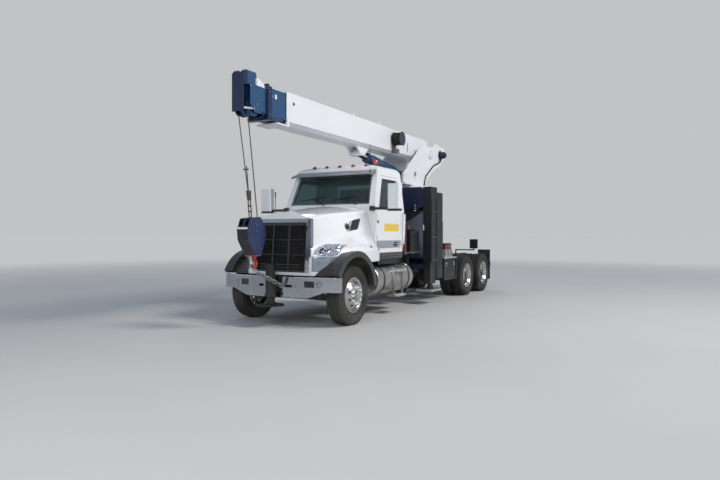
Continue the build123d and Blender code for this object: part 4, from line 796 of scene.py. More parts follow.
class StageSettings(bpy.types.PropertyGroup):
    floor_colour: colour_field("Floor", "Colour of the pale floor", (0.5, 0.5, 0.49))
    key_power: number_field("Key light", "Power of the soft key light", 3000.0)
    fill_power: number_field("Fill light", "Power of the soft fill light", 420.0)
    sky_strength: number_field("Sky", "Strength of the surrounding light", 0.62)
    fade_start: number_field("Fade start", "Where the floor starts to fade", 6.0, "LENGTH")
    fade_end: number_field("Fade end", "Where the floor has faded into the background", 26.0, "LENGTH")
    focal_length: number_field("Focal length", "Lens of the camera in millimetres", 29.5)


# Stage

CAMERA_PLACE = (FRONT_WHEEL.x + 8.94, 6.27, 1.59)
CAMERA_YAW = 3.6508
CAMERA_PITCH = -0.0101
CAMERA_ROLL = 0.0018
BACKDROP = (0.86, 0.88, 0.9)


class TRUCK_OT_stage(bpy.types.Operator):
    """Camera at the photograph's angle, pale floor and soft studio light"""
    bl_idname = "truck.stage"
    bl_label = "Stage, light and camera"

    def execute(self, context):
        settings = context.scene.truck_stage
        camera = bpy.data.cameras.new("camera")
        camera.lens = settings.focal_length
        camera.sensor_width = 36.0
        camera.clip_end = 200.0
        holder = bpy.data.objects.new("camera", camera)
        forward = Vector((cos(CAMERA_YAW) * cos(CAMERA_PITCH), sin(CAMERA_YAW) * cos(CAMERA_PITCH),
                          sin(CAMERA_PITCH)))
        turn = forward.to_track_quat("-Z", "Y").to_matrix().to_4x4()
        holder.matrix_world = (Matrix.Translation(CAMERA_PLACE) @ turn
                               @ Matrix.Rotation(CAMERA_ROLL, 4, "Z"))
        context.scene.collection.objects.link(holder)
        context.scene.camera = holder
        floor = bmesh.new()
        slab(floor, (-400, -400, -0.05), (400, 400, -0.001))
        mesh = bpy.data.meshes.new("floor")
        floor.to_mesh(mesh)
        floor.free()
        ground = bpy.data.objects.new("floor", mesh)
        context.scene.collection.objects.link(ground)
        grey = Finish("floor", settings.floor_colour, 0.95, Specular_IOR_Level=0.05)
        grey.tint(grey.noise(0.4, 5.0, contrast=(0.4, 0.7)), [c * 0.96 for c in settings.floor_colour])
        away = grey.node("ShaderNodeVectorMath", {0: grey.place}, operation="LENGTH")
        far = grey.span(away.outputs["Value"], settings.fade_start, settings.fade_end)
        grey.tint(far, (0.0, 0.0, 0.0))
        grey.shader.inputs["Emission Color"].default_value = (*BACKDROP, 1.0)
        grey.link(grey.maths("MULTIPLY", far, settings.sky_strength), grey.shader.inputs["Emission Strength"])
        mesh.materials.append(grey.material)
        for name, place, target, size, power in (
            ("key", (1.0, 15.0, 15.0), (0.5, 0.0, 1.5), 5.0, settings.key_power),
            ("fill", (13.0, 3.0, 6.0), (1.5, 0.0, 1.5), 7.0, settings.fill_power),
            ("rim", (-12.0, -6.0, 9.0), (0.0, 0.0, 2.0), 6.0, settings.fill_power),
        ):
            lamp = bpy.data.lights.new(name, "AREA")
            lamp.size = size
            lamp.energy = power
            lamp.color = (1.0, 0.965, 0.91)
            holder = bpy.data.objects.new(name, lamp)
            holder.location = place
            aim = Vector(target) - Vector(place)
            holder.rotation_mode = "QUATERNION"
            holder.rotation_quaternion = aim.to_track_quat("-Z", "Y")
            context.scene.collection.objects.link(holder)
        self.sky(context.scene, settings.sky_strength)
        context.scene.view_settings.view_transform = "Standard"
        return {"FINISHED"}

    def sky(self, scene, strength):
        """Pale background for the camera, with a soft blue sky for reflections."""
        world = bpy.data.worlds.new("studio")
        world.use_nodes = True
        scene.world = world
        sky = Tree(world.node_tree)
        background = sky.tree.nodes["Background"]
        background.inputs["Strength"].default_value = strength
        place = sky.node("ShaderNodeTexCoord").outputs["Generated"]
        height = sky.node("ShaderNodeSeparateXYZ", {0: place}).outputs["Z"]
        share = sky.node("ShaderNodeMapRange", {"Value": height, "From Min": -1.0}).outputs[0]
        ramp = sky.node("ShaderNodeValToRGB", {0: share})
        stops = ((0.0, (0.45, 0.44, 0.42)), (0.5, (0.74, 0.77, 0.8)), (0.62, (0.52, 0.62, 0.76)),
                 (1.0, (0.3, 0.4, 0.58)))
        for index, (where, colour) in enumerate(stops):
            stop = ramp.color_ramp.elements[index] if index < 2 else ramp.color_ramp.elements.new(where)
            stop.position = where
            stop.color = (*colour, 1.0)
        camera = sky.node("ShaderNodeLightPath").outputs["Is Camera Ray"]
        sky.link(sky.mix(camera, ramp.outputs[0], (*BACKDROP, 1.0)), background.inputs["Color"])


class TRUCK_OT_finishes(bpy.types.Operator):
    """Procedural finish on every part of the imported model"""
    bl_idname = "truck.finishes"
    bl_label = "Finishes"

    def execute(self, context):
        colours = context.scene.truck_paint
        make_finishes(colours)
        make_marked_paints(colours)
        tip = two_tone("tip_paint", colours.section_blue, "X", at(1.6), colours.crane_navy)
        upper = tip.span(tip.along("Z"), TIP_TOP_Z - 0.002, TIP_TOP_Z)
        collar = below(tip, tip.along("X"), at(1.3), at(1.31))
        tip.tint(tip.maths("MULTIPLY", upper, collar), colours.crane_white)
        two_tone("mid_paint", colours.section_blue, "X", at(1.1), colours.crane_navy)
        block_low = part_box("hook_block")[0].z + 0.225
        block = two_tone("block_paint", colours.hook_red, "Z", block_low, (0.007, 0.016, 0.08))
        # Near-black on the block's front and back faces above the hook: painted shade between the cheek
        # plates
        front = below(block, block.maths("ABSOLUTE", block.along("Y"), 0.0), 0.1075, 0.109)
        block.tint(block.maths("MULTIPLY", front, block.span(block.along("Z"), block_low, block_low + 0.004)),
                   (0.003, 0.004, 0.009))
        two_tone("line_paint", (0.13, 0.055, 0.03), "Z", 2.15, (0.05, 0.048, 0.045))
        two_tone("tail_paint", LAMP_RED, "X", at(-8.0455), TRIM_BLACK)
        two_tone("reel_paint", (0.1, 0.1, 0.1), "Z", 3.6, (0.014, 0.014, 0.015))
        finishes = {name: finish for finish, names in FINISHED_NODES.items() for name in names.split()}
        for name, node in NODES.items():
            if name not in finishes:
                raise RuntimeError(f"no finish is named for {name}")
            node.data.materials.clear()
            node.data.materials.append(FINISHES[finishes[name]])
        return {"FINISHED"}


def wall(half):
    """Left wall of a tyre from its bead up, as (place across, radius) pairs."""
    return [(-half + 0.034, 0.292), (-half + 0.03, 0.33), (-half + 0.006, 0.385), (-half, 0.41),
            (-half + 0.003, 0.43), (-half + 0.001, 0.433), (-half + 0.004, 0.45)]


def mirrored(profile):
    """The other half of a profile, from its far end back."""
    return [(-place, radius) for place, radius in profile[::-1]]


def steer_tyre(bm, centre, depth):
    """Steer tyre with ribs on its walls and four grooves round its tread."""
    half = TYRE_WIDTH / 2
    tread = half - 0.026
    top, floor = TYRE_RADIUS, TYRE_RADIUS - depth
    side = wall(half) + [(-tread - 0.01, top - 0.028), (-tread, top - 0.006)]
    grooves = 4
    rib = 2 * tread / (grooves + 1)
    profile = list(side)
    for index in range(grooves):
        y = -tread + (index + 1) * rib
        profile += [(y - 0.007, top), (y - 0.005, floor), (y + 0.005, floor), (y + 0.007, top)]
    lathe(bm, profile + mirrored(side), centre, "y", TYRE_STEPS)


def drive_tyre(bm, centre):
    """Carcass of a drive tyre under its tread blocks."""
    half = TYRE_WIDTH / 2
    side = wall(half) + [(-half + 0.016, TYRE_RADIUS - 0.04), (-half + 0.04, TYRE_RADIUS - 0.018)]
    lathe(bm, side + mirrored(side), centre, "y", TYRE_STEPS)


class TRUCK_OT_tyres(bpy.types.Operator):
    """Grooved steer tyres and block-treaded drive tyres"""
    bl_idname = "truck.tyres"
    bl_label = "Tyres"

    def execute(self, context):
        settings = context.scene.truck_tyres
        grow = tread_grower()
        rubber = FINISHES["tyre"]
        half = TYRE_WIDTH / 2
        for side, way in SIDES.items():
            base = bmesh.new()
            centre = Vector((FRONT_WHEEL.x, way * abs(FRONT_WHEEL.y), FRONT_WHEEL.z))
            steer_tyre(base, centre, settings.groove_depth)
            made = grow.run(f"steer_tread_{side}", f"front_wheel_{side}", rubber, {
                "Blocks": settings.front_blocks, "Rows": 2, "Radius": TYRE_RADIUS - 0.02,
                "Block": (0.03, 0.018, 0.02), "First Row": (0.0, -half + 0.022, 0.0),
                "Row Step": (0.0, 2 * half - 0.044, 0.0), "Centre": centre}, base, "tyre", 50.0)
            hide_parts(f"front_tyre_{side}")
            for number, drive in enumerate(DRIVE_WHEELS, 1):
                low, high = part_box(f"drive_tyres_{number}{side}")
                for part, y in (("outer", high.y - half if way > 0 else low.y + half),
                                ("inner", low.y + half if way > 0 else high.y - half)):
                    base = bmesh.new()
                    centre = Vector((drive.x, y, drive.z))
                    drive_tyre(base, centre)
                    body = f"drive_wheels_{number}{side}"
                    made = grow.run(f"drive_tread_{part}_{number}{side}", body, rubber, {
                        "Blocks": settings.drive_blocks, "Rows": 5, "Radius": TYRE_RADIUS - 0.011,
                        "Block": (0.02, 0.046, 0.04), "First Row": (0.0, -0.096, 0.0),
                        "Row Step": (0.0, 0.048, 0.0), "Centre": centre}, base, "tyre", 50.0)
                    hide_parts(f"drive_tyres_{number}{side}")
        return {"FINISHED"}


class TRUCK_OT_wheel_fittings(bpy.types.Operator):
    """Wheel nuts"""
    bl_idname = "truck.wheel_fittings"
    bl_label = "Wheel fittings"

    def execute(self, context):
        settings = context.scene.truck_tyres
        nuts = ring_grower("nuts")
        for side, way in SIDES.items():
            places = [(f"front_wheel_{side}", FRONT_WHEEL.x, way * (abs(FRONT_WHEEL.y) + 0.168), 0.03)]
            for number, drive in enumerate(DRIVE_WHEELS, 1):
                places.append((f"drive_wheels_{number}{side}", drive.x, way * DRIVE_NUTS_Y, 0.034))
            for body, x, y, length in places:
                centre = (x, y + way * length / 2, FRONT_WHEEL.z)
                nuts.run(f"nuts_{body}", body, FINISHES["polished_aluminium"], {
                    "Count": settings.wheel_nuts, "Ring Radius": settings.nut_ring, "Part Radius": 0.019,
                    "Part Length": length, "Centre": centre})
        return {"FINISHED"}


class TRUCK_OT_hood_trim(bpy.types.Operator):
    """Lamp rims and bowls, badges, vents and markers on the hood"""
    bl_idname = "truck.hood_trim"
    bl_label = "Hood trim"

    def execute(self, context):
        rims, bowls, badges, hearts, vents, marks, black = meshes(7)
        for way, side in FACING.items():
            traced(rims, "headlamps", "front", [(way * y, z) for y, z in about(LAMP_OUTLINE, 0.955)], 0.006)
            for y, z, radius in LAMP_BOWLS:
                traced(rims, "headlamps", "front", oval(way * y, z, radius, radius), 0.006)
                traced(rims, "headlamps", "front", oval(way * y, z, radius * 0.35, radius * 0.35, 12), 0.004)
                decal(bowls, "headlamps", "front", oval(way * y, z, radius * 0.92, radius * 0.92),
                      0.0015, 0.003)
            place = (at(BADGE[0]), BADGE[1])
            decal(badges, "hood", side, oval(*place, 0.066, 0.066, 28), 0.006, 0.012)
            decal(hearts, "hood", side, oval(*place, 0.05, 0.05, 24), 0.0085, 0.006)
            inside = [seen("hood", side, a, b)[0] for a, b in placed(about(VENT_OUTLINE, 1.12))]
            inner = [Vector((a, point.y - way * 0.018, b)) for (a, b), point
                     in zip(placed(about(VENT_OUTLINE, 1.05)), inside)]
            centre = sum(inner, Vector()) / len(inner)
            cap(vents, inner, centre, Vector((0, -way, 0)), 0.0, 0.004)
            out = Vector((0, way * 0.005, 0))
            for part in range(1, 6):
                low, high = inner[5].lerp(inner[4], part / 6), inner[0].lerp(inner[2], part / 6)
                pipe(black, [low + out, high + out], 0.007, 6)
            marker = (at(HOOD_MARKER[0]), HOOD_MARKER[1])
            decal(marks, "hood", side, oval(*marker, 0.04, 0.015), 0.012, 0.018)
            traced(rims, "hood", side, oval(*marker, 0.046, 0.02), 0.004)
            for z in (1.36, 1.30):
                decal(black, "hood", side, oval(at(-0.93), z, 0.014, 0.014, 8), 0.012, 0.016)
            decal(black, "hood", side, strip((at(-0.93), 1.30), (at(-0.93), 1.37), 0.02), 0.006, 0.01)
        foot = seen("hood", "top", at(-0.266), -0.75)[0]
        bar(black, foot - UP * 0.01, (foot.x, foot.y, 2.32), 0.006, 8)
        bar(black, (foot.x, foot.y, 2.30), (foot.x, foot.y, 2.40), 0.012, 8)
        piece("lamp_rims", rims, "hood", "chrome")
        piece("lamp_bowls", bowls, "hood", "lamp_dark")
        piece("hood_badges", badges, "hood", "chrome")
        piece("badge_centres", hearts, "hood", "black_plastic")
        piece("hood_vents", vents, "hood", "grille_dark")
        piece("hood_markers", marks, "hood", "lamp_red")
        piece("hood_fittings", black, "hood", "black_plastic")
        return {"FINISHED"}


class TRUCK_OT_bumper_trim(bpy.types.Operator):
    """Fog lamps, recesses and bright edges of the bumper; the edges are chrome beads brighter than the
    bumper, as painted highlights
    """
    bl_idname = "truck.bumper_trim"
    bl_label = "Bumper trim"

    def execute(self, context):
        lamps, lenses, dark, bright, bolts = meshes(5)
        for way in SIDES.values():
            face = seen("bumper", "front", way * 0.79, 0.735)[0].x - 0.012
            lamp = (face, way * 0.87, 0.735)
            lathe(lamps, [(-0.055, 0.0), (-0.055, 0.036), (-0.01, 0.055), (0.0, 0.055), (0.0, 0.046),
                          (-0.03, 0.03), (-0.036, 0.0)], lamp, "x", 32)
            lathe(lenses, [(-0.012, 0.0), (-0.012, 0.046), (-0.004, 0.046), (0.004, 0.03), (0.007, 0.0)],
                  lamp, "x", 32)
            patch(dark, "bumper", "front", (way * 0.60, 0.685), (way * 0.785, 0.79), 0.0015, 0.004, (8, 2))
            for y, z in ((1.12, 0.7), (1.12, 0.79), (0.48, 0.6), (0.48, 0.79)):
                bolt(bolts, "bumper", "front", way * y, z, 0.006, 0.011, 10)
            # Brighter chrome beads along the top and bottom edges: painted highlights on the bumper's edges
            for z, step, count in ((0.853, 0.115, 11), (0.508, 0.11, 6)):
                edge = [(way * (0.02 + step * i), z) for i in range(count)]
                traced(bright, "bumper", "front", edge, 0.007, False)
        piece("fog_lamps", lamps, "root", "lamp_bowl")
        piece("fog_lenses", lenses, "root", "lamp_glass")
        piece("bumper_recesses", dark, "root", "black_plastic")
        piece("bumper_edge_highlights", bright, "root", "chrome")
        piece("bumper_bolts", bolts, "root", "plain_steel")
        return {"FINISHED"}


class TRUCK_OT_cab_trim(bpy.types.Operator):
    """Rubber, wipers, roof lamps, beacon, mirror faces and grab bars of the cab"""
    bl_idname = "truck.cab_trim"
    bl_label = "Cab trim"

    def execute(self, context):
        rubber, black, red, bright, faces = meshes(5)
        low, high, wide, narrow = WINDSHIELD
        outline = [(-wide + 2 * wide * i / 12, low) for i in range(13)]
        outline += [(wide + (narrow - wide) * i / 5, low + (high - low) * i / 5) for i in range(1, 5)]
        outline += [(narrow - 2 * narrow * i / 12, high) for i in range(13)]
        outline += [(-narrow - (wide - narrow) * i / 5, high - (high - low) * i / 5) for i in range(1, 5)]
        traced(rubber, "cab_body", "front", outline, 0.011)
        for y in (0.12, -0.62):
            pivot = seen("cab_body", "front", y + 0.5, 2.172)[0] + AHEAD * 0.012
            end = seen("cab_glass", "front", y + 0.22, 2.30)[0] + AHEAD * 0.03
            blade = [seen("cab_glass", "front", y - 0.06 + 0.14 * i, 2.262 + 0.019 * i)[0] + AHEAD * 0.016
                     for i in range(5)]
            bar(black, pivot - AHEAD * 0.03, pivot + AHEAD * 0.012, 0.018, 12)
            pipe(black, [pivot, pivot.lerp(end, 0.5) + AHEAD * 0.012, end], 0.007, 6)
            pipe(black, blade, 0.008, 6)
        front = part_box("cab_roof")[1].x
        for y in (-0.62, -0.31, 0.0, 0.31, 0.62):
            point = seen("cab_roof", "top", front - 0.16, y)[0]
            disc(black, -0.02, 0.006, 0.05, point, "z", 20, 0.046)
            lathe(red, [(0.004, 0.0), (0.004, 0.04), (0.02, 0.036), (0.034, 0.024), (0.04, 0.0)],
                  point, "z", 20)
        beacon = seen("cab_roof", "top", at(-1.485), 0.8)[0]
        disc(black, -0.02, 0.02, 0.06, beacon, "z", 24, 0.058)
        lathe(red, [(0.018, 0.0), (0.018, 0.052), (0.09, 0.046), (0.115, 0.03), (0.12, 0.0)], beacon, "z", 24)
        aerial = seen("visor", "top", at(-1.14), 0.86)[0]
        bar(black, aerial - UP * 0.006, aerial + UP * 0.04, 0.014, 10, 0.009)
        bar(black, aerial + UP * 0.03, (aerial.x, aerial.y, 3.34), 0.004, 6)
        for way, side in FACING.items():
            for low, high in ((2.17, 2.48), (2.06, 2.15)):
                slab(faces, (at(-1.033), way * 1.485 - 0.105, low), (at(-1.0285), way * 1.485 + 0.105, high))
            foot, head = (seen("cab_body", side, at(-2.222), z)[0] for z in (1.36, 2.02))
            out = Vector((0, way * 0.06, 0))
            pipe(bright, [foot - out * 0.1, foot + out + UP * 0.03, head + out - UP * 0.03, head - out * 0.1],
                 0.014, 12)
        piece("window_rubber", rubber, "root", "rubber")
        piece("cab_black_trim", black, "root", "black_plastic")
        piece("roof_lamps", red, "root", "lamp_red")
        piece("cab_bright_trim", bright, "root", "chrome")
        piece("mirror_glass", faces, "root", "mirror_face")
        return {"FINISHED"}


class TRUCK_OT_door_trim(bpy.types.Operator):
    """Window rubber, handle, lever and lock of each door"""
    bl_idname = "truck.door_trim"
    bl_label = "Door trim"

    def execute(self, context):
        for key, way in SIDES.items():
            node, side = f"door_{key}", FACING[way]
            rubber, black, bright = meshes(3)
            ring = []
            grown = placed(about(DOOR_WINDOW, 1.035))
            for one, two in zip(grown, grown[1:] + grown[:1]):
                ring += [tuple(a + (b - a) * i / 6 for a, b in zip(one, two)) for i in range(6)]
            traced(rubber, node, side, ring, 0.009)
            decal(black, node, side, oval(at(-1.93), 1.388, 0.1, 0.045), 0.004, 0.008)
            out = Vector((0, way * 0.028, 0))
            ends = [seen(node, side, at(x), 1.40)[0] for x in (-2.005, -1.85)]
            pipe(bright, [ends[0], ends[0] + out + AHEAD * 0.015, ends[1] + out - AHEAD * 0.015, ends[1]],
                 0.009, 10)
            decal(black, node, side, oval(at(-1.12), 1.829, 0.03, 0.03, 16), 0.005, 0.01)
            piece(f"door_rubber_{key}", rubber, node, "rubber")
            piece(f"door_fittings_{key}", black, node, "black_plastic")
            piece(f"door_lever_{key}", bright, node, "chrome")
        return {"FINISHED"}


def ridges(low, high, radius, pitch, rise):
    """Profile of rope or cable wound side by side on a drum."""
    turns = max(1, round((high - low) / pitch))
    profile = [(low, radius - rise)]
    step = (high - low) / turns
    for i in range(turns):
        start = low + i * (high - low) / turns
        profile += [(start + 0.1 * step, radius), (start + 0.35 * step, radius + rise),
                    (start + 0.65 * step, radius + rise), (start + 0.9 * step, radius)]
    return profile + [(high, radius - rise)]


class TRUCK_OT_chassis_trim(bpy.types.Operator):
    """Filler caps, step grips, air tanks, deck rack, box lids, pads, tail lamps and flap weights"""
    bl_idname = "truck.chassis_trim"
    bl_label = "Chassis trim"

    def execute(self, context):
        mesh = dict(zip(CHASSIS_MESHES, meshes(len(CHASSIS_MESHES))))
        rows = row_grower()
        for key, way in SIDES.items():
            self.tank_side(mesh, rows, key, way)
            self.air_tank(mesh, way)
            self.box_side(mesh, way)
            self.tail_side(mesh, way)
        self.rack(mesh)
        self.valves(mesh)
        self.pads(mesh)
        handle, = meshes(1)
        pipe(handle, [(at(-6.2), 0.2, 1.172), (at(-6.22), 0.5, 1.168), (at(-6.22), 0.6, 1.19),
                      (at(-6.17), 0.6, 1.2), (at(-6.17), 0.52, 1.2)], 0.009, 10)
        piece("fifth_wheel_handle", handle, "fifth_wheel", "plain_steel")
        for part, (name, finish, bevel) in CHASSIS_MESHES.items():
            piece(name, mesh[part], "root", finish, bevel)
        return {"FINISHED"}

    def tank_side(self, mesh, rows, key, way):
        """Filler cap, straps and step grips of one fuel tank."""
        point, normal = seen("fuel_tanks", "top", at(-2.40), way * 1.02)
        lathe(mesh["bright"], [(-0.012, 0.0), (-0.012, 0.048), (0.018, 0.048), (0.018, 0.054), (0.036, 0.054),
                               (0.042, 0.03), (0.042, 0.0)], point, normal, 24)
        for x in STRAP_PLACES:
            hoop(mesh["black"], -0.022, 0.022, 0.2975, 0.3035, (at(x), way * 0.86, 0.70), "x", 64)
        top = seen("fuel_tanks", "top", at(-1.77), way * 1.215)[0].z
        for number, z in ((2, top - 0.49), (7, top)):
            rows.run(f"step_grips_{key}_{number}", "root", FINISHES["plain_steel"], {
                "Count": 11, "Start": (at(-1.96), way * 1.2, z + 0.002), "Step": (0.038, 0.0, 0.0),
                "Size": (0.012, 0.07, 0.008), "Turn": (0.0, 0.0, 0.0)})

    def air_tank(self, mesh, way):
        """Air tank on its two hangers, with its pipe."""
        x, y, z = at(-3.35), way * 0.62, 0.62
        lathe(mesh["tank"], [(0.0, 0.0), (0.0, 0.06), (0.02, 0.11), (0.05, 0.13), (0.55, 0.13), (0.58, 0.11),
                             (0.6, 0.06), (0.6, 0.0)], (x, y, z), "x", 36)
        for offset in (0.12, 0.44):
            start, end = x + offset, x + offset + 0.04
            hoop(mesh["steel"], offset, offset + 0.04, 0.129, 0.134, (x, y, z), "x", 36)
            for inner, outer, low, high in ((0.431, HANGER_REACH[way], 0.79, 0.80), (0.6, 0.64, 0.74, 0.795)):
                near, far = sorted((way * inner, way * outer))
                slab(mesh["steel"], (start, near, low), (end, far, high))
        pipe(mesh["black"], [(x + 0.3, y, 0.745), (x + 0.3, y, 0.86), (x + 0.3, way * 0.44, 0.9)], 0.01, 8)

    def box_side(self, mesh, way):
        """Lid, latches and panel of one tool box."""
        side = FACING[way]
        back, front = (at(x) for x in TOOL_BOX)
        inner, outer = sorted((way * 0.5, way * 1.15))
        slab(mesh["bright"], (back - 0.004, inner - 0.004, 1.003), (front + 0.004, outer + 0.004, 1.0245))
        for x in (back + 0.18, front - 0.18):
            face = seen("tool_boxes", side, x, 0.86)[0]
            low, high = sorted((face.y - way * 0.002, face.y + way * 0.014))
            slab(mesh["bright"], (x - 0.035, low, 0.82), (x + 0.035, high, 0.9))
            slab(mesh["black"], (x - 0.02, low + way * 0.006, 0.835), (x + 0.02, high + way * 0.012, 0.87))
        patch(mesh["grey"], "tool_boxes", side, (back + 0.05, 0.53), (front - 0.05, 0.97),
              0.004, 0.008, (6, 3))

    def tail_side(self, mesh, way):
        """Lamp on its post, and the weight of the mud flap."""
        x, inner, outer = at(-7.18), way * 0.42, way * 0.95
        pipe(mesh["black"], [(x, inner, 1.03), (x, inner, 1.15), (x, outer, 1.15), (x, outer, 1.2)],
             0.018, 10)
        slab(mesh["black"], (at(-7.21), outer - 0.11, 1.19), (at(-7.15), outer + 0.11, 1.45))
        for z in (1.255, 1.385):
            lathe(mesh["red"], [(-0.004, 0.0), (-0.004, 0.05), (0.01, 0.05), (0.018, 0.035), (0.02, 0.0)],
                  (at(-7.21), outer, z), -AHEAD, 24)
        low, high = sorted((way * 0.9, way * 1.22))
        patch(mesh["bright"], "mud_guards", "back", (low, 0.345), (high, 0.42), 0.004, 0.008, (4, 2))

    def rack(self, mesh):
        """Deck rack behind the cab with its box, levers and bottle."""
        low, high = 1.1603, 1.19
        top = high + 0.012
        for x in (-3.3, -2.9, -2.5):
            slab(mesh["steel"], (at(x), 0.34, low), (at(x) + 0.05, 1.02, high))
        for y in (0.38, 0.7, 0.98):
            slab(mesh["steel"], (at(-3.3), y, high), (at(-2.45), y + 0.04, top))
        slab(mesh["black"], (at(-3.25), 0.52, top), (at(-2.78), 0.98, 1.66))
        for y in (0.58, 0.68, 0.78, 0.88):
            slab(mesh["grey"], (at(-3.16), y - 0.03, 1.66), (at(-2.86), y + 0.03, 1.7))
            bar(mesh["steel"], (at(-2.93), y, 1.69), (at(-2.93), y, 1.8), 0.008, 8)
            lathe(mesh["black"], [(-0.02, 0.0), (-0.014, 0.016), (0.0, 0.02), (0.014, 0.016), (0.02, 0.0)],
                  (at(-2.93), y, 1.81), "z", 12)
        for z in (1.3, 1.42, 1.54):
            slab(mesh["grey"], (at(-3.2), 0.978, z - 0.04), (at(-2.83), 0.986, z + 0.04))
        bottle = (at(-2.58), 0.9, top)
        lathe(mesh["maroon"], [(0.0, 0.0), (0.0, 0.066), (0.03, 0.07), (0.5, 0.07), (0.55, 0.055),
                               (0.585, 0.025), (0.6, 0.0)], bottle, "z", 32)
        disc(mesh["bright"], 0.59, 0.63, 0.022, bottle, "z", 16, 0.02)

    def valves(self, mesh):
        """Three couplings with their pipes on the pedestal."""
        for z in (2.12, 2.18, 2.24):
            lathe(mesh["bright"], [(-0.004, 0.0), (-0.004, 0.02), (0.014, 0.02), (0.014, 0.013),
                                   (0.04, 0.013), (0.04, 0.0)], (at(-3.40), 0.82, z), "x", 6)
            pipe(mesh["black"], [(at(-3.365), 0.82, z), (at(-3.34), 0.80, z - 0.02),
                                 (at(-3.385), 0.6, z - 0.12), (at(-3.385), 0.48, z - 0.14)], 0.009, 8)

    def pads(self, mesh):
        """Stacked outrigger pads strapped on the left tool box."""
        for index, z in enumerate((1.0245, 1.09, 1.155)):
            slab(mesh["rubber"], (at(-5.12) + 0.01 * index, 0.62, z),
                 (at(-4.62) - 0.012 * index, 1.08, z + 0.06))
        for index, z in enumerate((1.216, 1.29)):
            slab(mesh["maroon"], (at(-5.08), 0.65 + 0.01 * index, z), (at(-4.66), 1.06, z + 0.068))
        for x in (-5.0, -4.78):
            pipe(mesh["black"], [(at(x), 0.6, 1.04), (at(x), 0.63, 1.36), (at(x), 1.08, 1.365),
                                 (at(x), 1.1, 1.04)], 0.006, 6)


